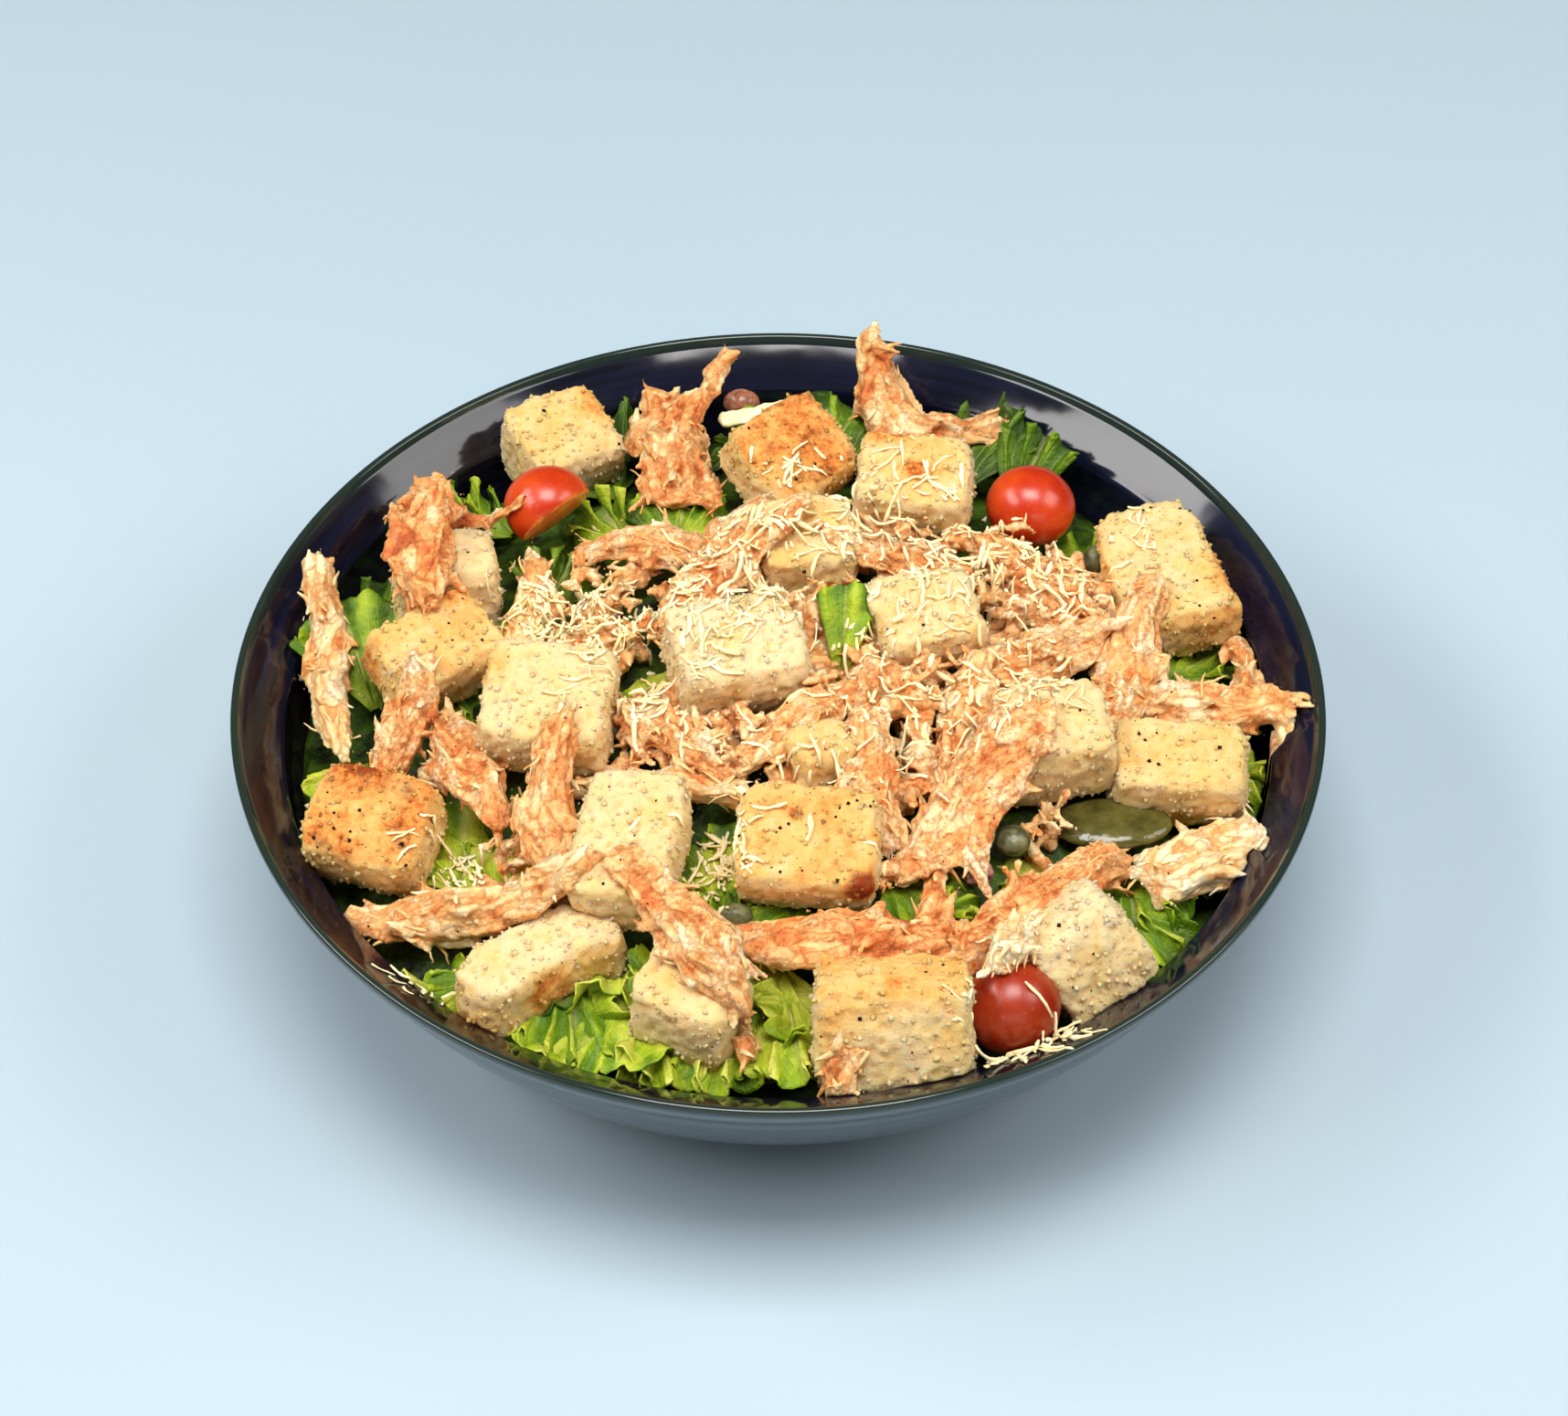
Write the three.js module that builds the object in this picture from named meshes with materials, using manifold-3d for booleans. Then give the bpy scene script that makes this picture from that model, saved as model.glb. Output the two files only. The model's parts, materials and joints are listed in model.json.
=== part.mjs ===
// Chicken caesar salad in a wide glazed stoneware bowl.
//
// Millimetres, +Z up. The origin is the middle of the bowl's foot, on the surface it stands on,
// and -Y is the side that a diner sees first.
//
// The bowl is turned. The lettuce is one heap: a mound that fills the bowl, with the leaves that
// show fused on. Croutons, shreds of chicken, tomatoes and the small garnishes are solids of their
// own, which come to rest on the mound or on what already lies there. Strips of grated parmesan
// are fused to whatever they fell on.

import * as THREE from "three";
import { mergeVertices } from "three/addons/utils/BufferGeometryUtils.js";
import Module from "manifold-3d";

const wasm = await Module();
wasm.setup();

// ---------------------------------------------------------------- driving dimensions

const RIM_RADIUS = 135;
const BOWL_HEIGHT = 72;
const LIP_WIDTH = 3.6;
const FOOT_RADIUS = 52;
const FOOT_HEIGHT = 4;
const FOOT_WIDTH = 6;
const FOOT_RECESS = 2;
const FLOOR_RADIUS = 60;
const FLOOR_HEIGHT = 9;
const WALL_ROUNDNESS = 0.36; // lower is a flatter floor with a steeper wall
const THROWING_RING_HEIGHT = 59; // a shallow ledge left by the potter's finger
const THROWING_RING_DEPTH = 0.5;
const BOWL_SIDES = 52;

const HEAP_RADIUS = 117;
const HEAP_EDGE_HEIGHT = 56;
const HEAP_CROWN_HEIGHT = 77;
const HEAP_SHOULDER = 2.2; // higher is a flatter top with a steeper shoulder
const LEAF_COVER = 8; // how far the leaves stand over the bare mound
const HEAP_SIDES = 40;
const HEAP_RINGS = 8;

const CROUTON_SINK = 4; // how far a crouton settles into the leaves
const CROUTON_SQUARENESS = 6;
const LEAF_THICKNESS = 1.1;
const CHEESE_STRIPS = 26;
const GAP = 0.35; // clearance between neighbouring pieces

// ---------------------------------------------------------------- where things lie
// `at` is the middle in plan, `turn` the heading in degrees from +X towards +Y.

// size is width, depth and height before tilting. lean tips the top towards the diner (-Y when
// turn is 0), roll tips it sideways, lift raises it off the heap.
const CROUTONS = [
  { name: "crouton_back_left", at: [-57, 93], size: [26, 24, 21], turn: 28, lean: 12 },
  { name: "crouton_back_toasted", at: [3, 76], size: [28, 25, 17], turn: 32, lean: 24, lift: 2 },
  { name: "crouton_back_right", at: [35, 67], size: [29, 23, 20], turn: -6, lean: 12 },
  { name: "crouton_corner_wedge", at: [98, 42], size: [27, 40, 18], turn: 16, lean: 4, roll: -10, taper: 0.4 },
  { name: "crouton_right", at: [97, -26], size: [32, 20, 19], turn: -3, lean: 12 },
  { name: "crouton_left_toasted", at: [-85, 9], size: [31, 22, 16], turn: 38, lean: 14, lift: 2 },
  { name: "crouton_left_rear", at: [-84, 36], size: [26, 20, 24], turn: 6, lean: -10, lift: -2 },
  { name: "crouton_left_middle", at: [-56, -15], size: [31, 29, 18], turn: -10, lean: 10 },
  { name: "crouton_left_spiced", at: [-97, -45], size: [29, 25, 20], turn: -14, lean: 20 },
  { name: "crouton_centre", at: [-10, -1], size: [32, 26, 18], turn: 14, lean: 6 },
  { name: "crouton_centre_right", at: [36, 13], size: [26, 22, 17], turn: 18, lean: 8 },
  { name: "crouton_front_long", at: [-35, -61], size: [24, 35, 18], turn: -10, lean: 14 },
  { name: "crouton_front_peppered", at: [7, -61], size: [33, 26, 16], turn: -4, lean: 18, lift: 1 },
  { name: "crouton_front_crescent", at: [-56, -85], size: [40, 15, 16], turn: 34, lean: -4, arch: -62 },
  { name: "crouton_front_small", at: [-20, -99], size: [24, 20, 21], turn: -26, lean: 4, lift: -2 },
  { name: "crouton_front_big", at: [26, -106], size: [36, 20, 27], turn: -2, lean: -24, lift: -1 },
  { name: "crouton_front_right", at: [71, -85], size: [25, 17, 26], turn: 22, lean: -24, roll: -24, lift: -2 },
  { name: "crouton_right_inner", at: [66, -24], size: [27, 24, 20], turn: 12, lean: 4 },
  { name: "crouton_back_centre", at: [7, 41], size: [24, 22, 17], turn: 10, lean: 6 },
  { name: "crouton_middle_small", at: [10, -30], size: [15, 13, 14], turn: 30, lean: 0, lift: -2 },
];

const TOMATOES = [
  { name: "tomato_back_left", at: [-59, 60], radius: [12, 11, 11], turn: 20, lift: 3 },
  { name: "tomato_back_right", at: [65, 64], radius: [12.2, 11, 10.6], turn: -12, lift: 2 },
  { name: "tomato_front", at: [54, -99], radius: [11.6, 11.2, 11.8], turn: 0, lift: 1 },
];

const GARNISHES = [
  { name: "caper_front", at: [-10, -74], radius: [4.6, 3.6, 3.4], turn: 10, lift: 1 },
  { name: "caper_right", at: [56, -51], radius: [5.2, 4.2, 3.8], turn: 40, lift: 2 },
  { name: "caper_back_right", at: [83, 53], radius: [5, 4.4, 4], turn: 0, lift: 2 },
  { name: "brown_bean", at: [-9.7, 120.6], radius: [5.4, 4.2, 3.8], turn: -8, lift: 3.5 },
  { name: "pickle_slice", at: [81, -39], radius: [17, 9, 3], turn: -6, lift: 0 },
  { name: "onion_bit", at: [47, -59], radius: [6, 2.6, 2.4], turn: 40, lift: 1 },
];

// A shred is a bent, lumpy strand of meat with arms torn off it. length runs along the bend, which
// is the whole turn in degrees. ends are the widths at the near and far end as shares of `width`,
// and raise is how far each end stands up off what is under it. An arm leaves the trunk at `from`
// (-0.5 near end, 0.5 far end), turned from the trunk's own heading, with its far end only.
const SHREDS = [
  {
    name: "chicken_left_rear", at: [-89, 43], turn: -88, length: 56, bend: 10, width: 18, thick: 12, raise: [16, 0],
    arms: [
      { from: -0.26, turn: 66, length: 25, width: 12, bend: 12 },
      { from: -0.4, turn: 112, length: 17, width: 7, bend: -20, raise: 3 },
      { from: -0.42, turn: -160, length: 9, width: 7, raise: 3 },
    ],
  },
  {
    name: "chicken_back_left", at: [-29, 90], turn: -82, length: 46, bend: 6, width: 19, thick: 13, raise: [9, 0],
    arms: [
      { from: -0.36, turn: 28, length: 42, width: 15, bend: -30 },
      { from: 0.3, turn: -58, length: 15, width: 9 },
      { from: -0.18, turn: 134, length: 29, width: 8, bend: 8, raise: 16, end: 0.8 },
    ],
  },
  {
    name: "chicken_back_horn", at: [29, 101], turn: -60, length: 25, bend: 44, width: 18, thick: 15, lift: 2,
    ends: [0.3, 0.8], raise: [29, 0],
    arms: [{ from: 0.3, turn: 54, length: 27, width: 8, bend: 20, raise: 6, end: 1.5 }],
  },
  {
    name: "chicken_upper_left", at: [-34, 46], turn: -8, length: 34, bend: -26, width: 14, thick: 9,
    arms: [{ from: -0.2, turn: 150, length: 10, width: 6 }],
  },
  {
    name: "chicken_centre_curl", at: [-14, 31], turn: -137, length: 46, bend: 48, width: 17, thick: 11,
    arms: [{ from: -0.12, turn: 84, length: 22, width: 11, bend: 12 }],
  },
  {
    name: "chicken_left_fork", at: [-62, 27], turn: -92, length: 42, bend: -16, width: 10, thick: 8, ends: [0.5, 1.1],
    arms: [{ from: -0.08, turn: 66, length: 22, width: 5.5, bend: 26 }],
  },
  {
    name: "chicken_left_wall", at: [-112, 12], turn: 99, length: 58, bend: 4, width: 11, thick: 8, lift: 4,
    raise: [0, 16], ends: [0.4, 0.5],
    arms: [
      { from: 0.02, turn: 76, length: 10, width: 5 },
      { from: 0.2, turn: 66, length: 7, width: 4 },
    ],
  },
  {
    name: "chicken_left_brown", at: [-92, -14], turn: -112, length: 30, bend: -14, width: 13, thick: 9, arms: [],
  },
  {
    name: "chicken_left_lump", at: [-75, -28], turn: -66, length: 38, bend: 10, width: 17, thick: 11,
    arms: [{ from: -0.3, turn: 55, length: 14, width: 8 }],
  },
  {
    name: "chicken_left_tangle", at: [-54, -49], turn: -86, length: 42, bend: 40, width: 15, thick: 10,
    arms: [{ from: 0.34, turn: 30, length: 13, width: 6, bend: 20 }],
  },
  {
    name: "chicken_front_left", at: [-74, -71], turn: -6, length: 60, bend: 24, width: 15, thick: 10,
    arms: [{ from: -0.12, turn: -66, length: 11, width: 7 }],
  },
  { name: "chicken_long_strip", at: [-24, -39], turn: -12, length: 42, bend: -8, width: 9.5, thick: 7, arms: [] },
  {
    name: "chicken_middle_crumbs", at: [-26, -24], turn: -42, length: 34, bend: -18, width: 12, thick: 9,
    arms: [{ from: -0.3, turn: -75, length: 10, width: 6 }],
  },
  {
    name: "chicken_front_middle", at: [-23, -87], turn: -52, length: 42, bend: 4, width: 18, thick: 12, ends: [0.5, 0.8],
    arms: [{ from: 0.46, turn: 4, length: 8, width: 8, bend: -30, end: 0.6 }],
  },
  {
    name: "chicken_front_fork", at: [18, -84], turn: 3, length: 50, bend: 26, width: 18, thick: 12,
    arms: [
      { from: 0.2, turn: 56, length: 25, width: 9, bend: 24, end: 0.5 },
      { from: -0.4, turn: 150, length: 10, width: 9 },
    ],
  },
  {
    name: "chicken_front_diagonal", at: [60, -70], turn: 41, length: 58, bend: -4, width: 16, thick: 11,
    arms: [
      { from: -0.05, turn: -72, length: 12, width: 8 },
      { from: 0.28, turn: -36, length: 15, width: 8 },
    ],
  },
  {
    name: "chicken_right_pale", at: [103, -49], turn: 38, length: 29, bend: 22, width: 19, thick: 12, ends: [0.8, 0.7],
    arms: [{ from: 0.2, turn: -42, length: 13, width: 9 }],
  },
  { name: "chicken_white_end", at: [53, -93], turn: -120, length: 16, bend: 10, width: 9, thick: 7, lift: 1, arms: [] },
  {
    name: "chicken_right_arch", at: [106, -2], turn: 3, length: 42, bend: -10, width: 16, thick: 11, raise: [0, 5],
    arms: [
      { from: 0.26, turn: 84, length: 29, width: 10, bend: 10, raise: 3, end: 0.5 },
      { from: 0.42, turn: -92, length: 20, width: 8, bend: -22, raise: -2 },
    ],
  },
  {
    name: "chicken_right_inner", at: [85, 6], turn: -104, length: 54, bend: 30, width: 17, thick: 12,
    arms: [{ from: -0.3, turn: 42, length: 20, width: 9 }],
  },
  {
    name: "chicken_right_upper", at: [64, 5], turn: 24, length: 40, bend: 20, width: 15, thick: 10,
    arms: [{ from: -0.2, turn: 70, length: 14, width: 8 }],
  },
  {
    name: "chicken_centre_strip", at: [45, -21], turn: -100, length: 46, bend: 4, width: 13, thick: 9,
    arms: [{ from: -0.3, turn: -70, length: 13, width: 6 }],
  },
  {
    name: "chicken_middle_fork", at: [22, -35], turn: -84, length: 42, bend: 34, width: 13, thick: 10,
    arms: [{ from: -0.05, turn: -66, length: 14, width: 8 }],
  },
  {
    name: "chicken_front_right_heap", at: [46, -45], turn: -132, length: 54, bend: -10, width: 18, thick: 11,
    arms: [{ from: 0.05, turn: 52, length: 22, width: 11, bend: 20 }],
  },
  {
    name: "chicken_centre_diagonal", at: [7, -20], turn: 42, length: 40, bend: 8, width: 13, thick: 9,
    arms: [{ from: 0.3, turn: 28, length: 12, width: 6 }],
  },
  {
    name: "chicken_back_bits", at: [64, 37], turn: -40, length: 42, bend: 22, width: 15, thick: 9,
    arms: [{ from: -0.35, turn: 48, length: 14, width: 9 }],
  },
  {
    name: "chicken_upper_bits", at: [30, 39], turn: -4, length: 36, bend: -44, width: 13, thick: 9,
    arms: [{ from: 0.1, turn: 80, length: 12, width: 7 }],
  },
  { name: "chicken_crouton_scrap", at: [14, -119], turn: -98, length: 8, bend: 0, width: 9, thick: 6, lift: 1, arms: [] },
  {
    name: "parmesan_curl", at: [-2.5, 109.5], turn: 24, length: 26, bend: 24, width: 5, thick: 3.4, lift: 5,
    ends: [0.9, 0.8], raise: [0, 1], arms: [],
  },
];

// Leaves that show between the toppings. They start at `at`, run `length` along `turn` and climb
// by `climb` degrees. frill is the height of the wave along the margin.
const LEAVES = [
  { at: [-58, -84], turn: -64, length: 30, width: 34, climb: 6, frill: 6 },
  { at: [-38, -88], turn: -92, length: 30, width: 38, climb: 8, frill: 7 },
  { at: [-4, -90], turn: -96, length: 28, width: 32, climb: 6, frill: 6 },
  { at: [6, -76], turn: -100, length: 22, width: 24, climb: 12, frill: 5 },
  { at: [-16, -64], turn: 74, length: 22, width: 20, climb: 14, frill: 4 },
  { at: [-72, -60], turn: 100, length: 26, width: 20, climb: 8, frill: 4 },
  { at: [-104, 20], turn: 108, length: 30, width: 16, climb: 18, frill: 3 },
  { at: [-100, -4], turn: -112, length: 24, width: 18, climb: 10, frill: 4 },
  { at: [14, 90], turn: 78, length: 22, width: 22, climb: 22, frill: 5 },
  { at: [48, 92], turn: 66, length: 24, width: 20, climb: 16, frill: 4 },
  { at: [62, 82], turn: 64, length: 22, width: 16, climb: 24, frill: 4 },
  { at: [-26, 58], turn: 80, length: 20, width: 22, climb: 16, frill: 4 },
  { at: [80, -66], turn: -46, length: 28, width: 30, climb: 14, frill: 5 },
  { at: [92, -40], turn: -34, length: 24, width: 24, climb: 8, frill: 4 },
  { at: [15, 5], turn: 82, length: 20, width: 9, climb: 34, frill: 1 },
];

// ---------------------------------------------------------------- small helpers

const radians = THREE.MathUtils.degToRad;

// Seeded random numbers, so that every build is the same.
function seededRandom(seed) {
  let state = seed >>> 0;
  return () => {
    state = (state + 0x6d2b79f5) >>> 0;
    let t = Math.imul(state ^ (state >>> 15), 1 | state);
    t = (t + Math.imul(t ^ (t >>> 7), 61 | t)) ^ t;
    return ((t ^ (t >>> 14)) >>> 0) / 4294967296;
  };
}

// A smooth bumpy field between -1 and 1, about one bump per `size` millimetres.
function bumps(x, y, z, size, seed) {
  const k = Math.PI / size;
  return (
    Math.sin(x * k + seed) * Math.cos(y * k * 1.13 + seed * 2.1) * 0.6 +
    Math.sin(z * k * 1.21 + x * k * 0.53 + seed * 3.7) * 0.4
  );
}

// Welds a geometry, drops faces with no area and makes it a solid.
function solidOf(geometry) {
  const bare = new THREE.BufferGeometry().setAttribute("position", geometry.getAttribute("position").clone());
  if (geometry.index) bare.setIndex(geometry.index.clone());
  const welded = mergeVertices(bare, 1e-3);
  const corners = welded.index.array;
  const faces = [];
  for (let i = 0; i < corners.length; i += 3) {
    const [a, b, c] = [corners[i], corners[i + 1], corners[i + 2]];
    if (a !== b && b !== c && c !== a) faces.push(a, b, c);
  }
  return new wasm.Manifold(
    new wasm.Mesh({
      numProp: 3,
      vertProperties: welded.getAttribute("position").array,
      triVerts: new Uint32Array(faces),
    }),
  );
}

// The geometry of a solid, for a mesh or for casting rays at.
function geometryOf(solid) {
  const mesh = solid.getMesh();
  const geometry = new THREE.BufferGeometry();
  geometry.setAttribute("position", new THREE.BufferAttribute(Float32Array.from(mesh.vertProperties), 3));
  geometry.setIndex(new THREE.BufferAttribute(Uint32Array.from(mesh.triVerts), 1));
  geometry.computeVertexNormals();
  return geometry;
}

// The same solid with its surface moved outwards, to cut a neighbour clear of it. A corner moves
// further than the faces round it, so that each of those moves by the whole distance.
function grown(solid, distance) {
  const geometry = geometryOf(solid);
  const corners = geometry.index.array;
  const position = geometry.getAttribute("position");
  const normal = geometry.getAttribute("normal");
  const spots = Array.from({ length: position.count }, (_, i) => new THREE.Vector3().fromBufferAttribute(position, i));
  const ways = spots.map((_, i) => new THREE.Vector3().fromBufferAttribute(normal, i));
  const least = new Array(spots.length).fill(1);
  for (let i = 0; i < corners.length; i += 3) {
    const face = [corners[i], corners[i + 1], corners[i + 2]];
    const facing = new THREE.Triangle(...face.map((k) => spots[k])).getNormal(new THREE.Vector3());
    face.forEach((k) => (least[k] = Math.min(least[k], facing.dot(ways[k]))));
  }
  spots.forEach((spot, i) => {
    spot.addScaledVector(ways[i], distance / Math.max(least[i], 0.4));
    position.setXYZ(i, spot.x, spot.y, spot.z);
  });
  return solidOf(geometry);
}

// The largest of the bodies that a cut leaves.
function largestBody(solid) {
  const bodies = solid.decompose();
  return bodies.reduce((best, body) => (body.volume() > best.volume() ? body : best), bodies[0]);
}

function boxesMeet(a, b) {
  const [p, q] = [a.boundingBox(), b.boundingBox()];
  return [0, 1, 2].every((i) => p.min[i] < q.max[i] && q.min[i] < p.max[i]);
}

// ---------------------------------------------------------------- bowl

// Share of the way out from the foot or floor to the rim, at a share of the way up.
const wallCurve = (share) => Math.pow(share, WALL_ROUNDNESS);

function outerRadius(z) {
  return FOOT_RADIUS + (RIM_RADIUS - FOOT_RADIUS) * wallCurve((z - FOOT_HEIGHT) / (BOWL_HEIGHT - FOOT_HEIGHT));
}

function innerRadius(z) {
  const reach = RIM_RADIUS - LIP_WIDTH - FLOOR_RADIUS;
  return FLOOR_RADIUS + reach * wallCurve(Math.max(0, z - FLOOR_HEIGHT) / (BOWL_HEIGHT - FLOOR_HEIGHT));
}

// Height of the inside of the bowl at a distance from its axis.
function innerHeight(radius) {
  const share = Math.max(0, radius - FLOOR_RADIUS) / (RIM_RADIUS - LIP_WIDTH - FLOOR_RADIUS);
  return FLOOR_HEIGHT + (BOWL_HEIGHT - FLOOR_HEIGHT) * Math.pow(share, 1 / WALL_ROUNDNESS);
}

function bowlGeometry() {
  const innerSteps = 6;
  const outerSteps = 5;
  const lipSteps = 3;
  const lipRadius = LIP_WIDTH / 2;
  const lipHeight = BOWL_HEIGHT - lipRadius;
  const profile = [new THREE.Vector2(0, FLOOR_HEIGHT)];
  for (let i = 0; i <= innerSteps; i++) {
    const z = FLOOR_HEIGHT + (lipHeight - FLOOR_HEIGHT) * Math.pow(i / innerSteps, 1.9);
    profile.push(new THREE.Vector2(innerRadius(z), z));
  }
  const ring = profile.findIndex((point) => point.y > THROWING_RING_HEIGHT);
  const ledge = innerRadius(THROWING_RING_HEIGHT);
  profile.splice(
    ring,
    0,
    new THREE.Vector2(ledge, THROWING_RING_HEIGHT - 1.2),
    new THREE.Vector2(ledge + THROWING_RING_DEPTH, THROWING_RING_HEIGHT),
  );
  for (let i = 1; i < lipSteps; i++) {
    const angle = Math.PI * (1 - i / lipSteps);
    profile.push(
      new THREE.Vector2(RIM_RADIUS - lipRadius + lipRadius * Math.cos(angle), lipHeight + lipRadius * Math.sin(angle)),
    );
  }
  for (let i = outerSteps; i >= 0; i--) {
    const z = FOOT_HEIGHT + (lipHeight - FOOT_HEIGHT) * Math.pow(i / outerSteps, 1.9);
    profile.push(new THREE.Vector2(i === outerSteps ? RIM_RADIUS : outerRadius(z), z));
  }
  profile.push(
    new THREE.Vector2(FOOT_RADIUS - 1, 0),
    new THREE.Vector2(FOOT_RADIUS - FOOT_WIDTH, 0),
    new THREE.Vector2(FOOT_RADIUS - FOOT_WIDTH - 1, FOOT_RECESS),
    new THREE.Vector2(0, FOOT_RECESS),
  );
  return new THREE.LatheGeometry(profile.reverse(), BOWL_SIDES).rotateX(Math.PI / 2);
}

// ---------------------------------------------------------------- what toppings rest on

// Height of the leafy top of the heap.
function heapHeight(x, y) {
  const share = Math.min(1, Math.hypot(x, y) / HEAP_RADIUS);
  return HEAP_EDGE_HEIGHT + (HEAP_CROWN_HEIGHT - HEAP_EDGE_HEIGHT) * (1 - Math.pow(share, HEAP_SHOULDER));
}

const ray = new THREE.Raycaster();
const placed = []; // { name, solid, mesh } of every topping so far

function hitsAt(x, y, fromZ, direction, meshes) {
  ray.set(new THREE.Vector3(x, y, fromZ), new THREE.Vector3(0, 0, direction));
  return ray.intersectObjects(meshes, false);
}

// Height of the heap, the bowl's wall or what lies there, whichever is highest.
function restHeight(x, y) {
  const hit = hitsAt(x, y, 300, -1, placed.map((piece) => piece.mesh))[0];
  const radius = Math.hypot(x, y);
  const wall = radius < RIM_RADIUS - LIP_WIDTH ? innerHeight(radius) : BOWL_HEIGHT;
  return Math.max(heapHeight(x, y), hit ? hit.point.z : 0, wall);
}

// Cuts a new piece clear of the bowl and of what is there, and remembers it.
function place(name, solid) {
  let clear = solid.subtract(bowlKeepOut);
  for (const other of placed) {
    if (boxesMeet(clear, other.keepOut)) clear = clear.subtract(other.keepOut);
  }
  clear = largestBody(clear);
  const mesh = new THREE.Mesh(geometryOf(clear), new THREE.MeshBasicMaterial({ side: THREE.DoubleSide }));
  placed.push({ name, solid: clear, mesh, keepOut: grown(clear, GAP) });
}

// ---------------------------------------------------------------- croutons

function croutonGeometry({ size, taper = 0, arch = 0 }, seed) {
  const cells = 3;
  const geometry = new THREE.BoxGeometry(2, 2, 2, cells, cells, cells);
  const position = geometry.getAttribute("position");
  const half = size.map((length) => length / 2);
  for (let i = 0; i < position.count; i++) {
    const unit = [position.getX(i), position.getY(i), position.getZ(i)];
    const reach = unit.reduce((sum, u) => sum + Math.pow(Math.abs(u), CROUTON_SQUARENESS), 0);
    const pull = Math.pow(reach, -1 / CROUTON_SQUARENESS);
    let [x, y, z] = unit.map((u, axis) => u * pull * half[axis]);
    x *= 1 - taper * (y / size[1]);
    const wobble = 1 + 0.08 * bumps(x, y, z, 11, seed);
    [x, y, z] = [x * wobble, y * wobble, z * wobble];
    if (arch) {
      // bends the length of the crust round an arc in plan
      const radius = size[0] / radians(arch);
      const angle = x / radius;
      [x, y] = [(radius - y) * Math.sin(angle), radius - (radius - y) * Math.cos(angle)];
    }
    position.setXYZ(i, x, y, z);
  }
  return geometry;
}

function placeCrouton(crouton, index) {
  const { name, at, turn, lean = 0, roll = 0, lift = 0 } = crouton;
  const geometry = croutonGeometry(crouton, index * 1.7);
  geometry.rotateY(radians(roll)).rotateX(radians(lean)).rotateZ(radians(turn));
  geometry.computeBoundingBox();
  const z = heapHeight(...at) - CROUTON_SINK + lift - geometry.boundingBox.min.z;
  geometry.translate(at[0], at[1], z);
  place(name, solidOf(geometry));
}

// ---------------------------------------------------------------- tomatoes and garnishes

function placeRound({ name, at, radius, turn, lift }, meridians, parallels) {
  const geometry = new THREE.SphereGeometry(1, meridians, parallels).rotateX(Math.PI / 2);
  geometry.scale(...radius).rotateZ(radians(turn));
  geometry.translate(at[0], at[1], heapHeight(...at) + radius[2] - CROUTON_SINK + lift);
  place(name, solidOf(geometry));
}

// ---------------------------------------------------------------- chicken

// Points along an arc in plan. It runs both ways from `at`, or onwards from it where start is true.
function planArc({ at, turn, length, bend = 0 }, steps, start = false) {
  const points = [];
  const middle = start ? 0 : steps / 2;
  for (let i = 0; i <= steps; i++) {
    const share = (i - middle) / steps;
    const heading = radians(turn + bend * share * 0.5);
    points.push({
      x: at[0] + Math.cos(heading) * length * share,
      y: at[1] + Math.sin(heading) * length * share,
      heading: radians(turn + bend * share),
      share: i / steps,
    });
  }
  return points;
}

// A closed tube of lumpy rings round points with x, y, z, heading, across and up radii. The rings
// stand square to the strand, also where it climbs.
function tubeGeometry(points, sides, seed) {
  const random = seededRandom(Math.round(seed * 100) + 7);
  const vertices = [];
  const faces = [];
  const spot = (point) => new THREE.Vector3(point.x, point.y, point.z);
  const alongAt = (i) =>
    spot(points[Math.min(i + 1, points.length - 1)]).sub(spot(points[Math.max(i - 1, 0)])).normalize();
  points.forEach((point, i) => {
    const left = new THREE.Vector3(-Math.sin(point.heading), Math.cos(point.heading), 0);
    const up = alongAt(i).cross(left).normalize();
    for (let k = 0; k < sides; k++) {
      const angle = (2 * Math.PI * k) / sides;
      const lump = 0.76 + 0.48 * random();
      const corner = spot(point)
        .addScaledVector(left, Math.cos(angle) * point.across * lump)
        .addScaledVector(up, Math.sin(angle) * point.up * lump);
      vertices.push(corner.x, corner.y, corner.z);
    }
  });
  const last = points.length - 1;
  const nearTip = spot(points[0]).addScaledVector(alongAt(0), -points[0].across * 0.5);
  const farTip = spot(points[last]).addScaledVector(alongAt(last), points[last].across * 0.5);
  vertices.push(nearTip.x, nearTip.y, nearTip.z, farTip.x, farTip.y, farTip.z);
  const [start, end] = [points.length * sides, points.length * sides + 1];
  for (let k = 0; k < sides; k++) {
    const next = (k + 1) % sides;
    for (let i = 0; i < last; i++) {
      const [a, b, c, d] = [i * sides + k, i * sides + next, (i + 1) * sides + k, (i + 1) * sides + next];
      faces.push(a, b, c, b, d, c);
    }
    faces.push(start, next, k);
    faces.push(end, start - sides + k, start - sides + next);
  }
  const geometry = new THREE.BufferGeometry();
  geometry.setAttribute("position", new THREE.Float32BufferAttribute(vertices, 3));
  geometry.setIndex(faces);
  return geometry;
}

// Lays a strand over what is under it, with no sharp sag between, and raises its ends.
function drape(points, lift, [near, far]) {
  points.forEach((point) => {
    point.z = restHeight(point.x, point.y) + point.up * 0.85 + lift;
  });
  for (let pass = 0; pass < 4; pass++) {
    for (let i = 1; i + 1 < points.length; i++) {
      points[i].z = Math.max(points[i].z, (points[i - 1].z + points[i + 1].z) / 2 - 1.2);
    }
  }
  points.forEach((point) => {
    const toEnd = 2 * point.share - 1;
    point.z += (toEnd < 0 ? near : far) * Math.pow(Math.abs(toEnd), 1.5);
  });
}

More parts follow.
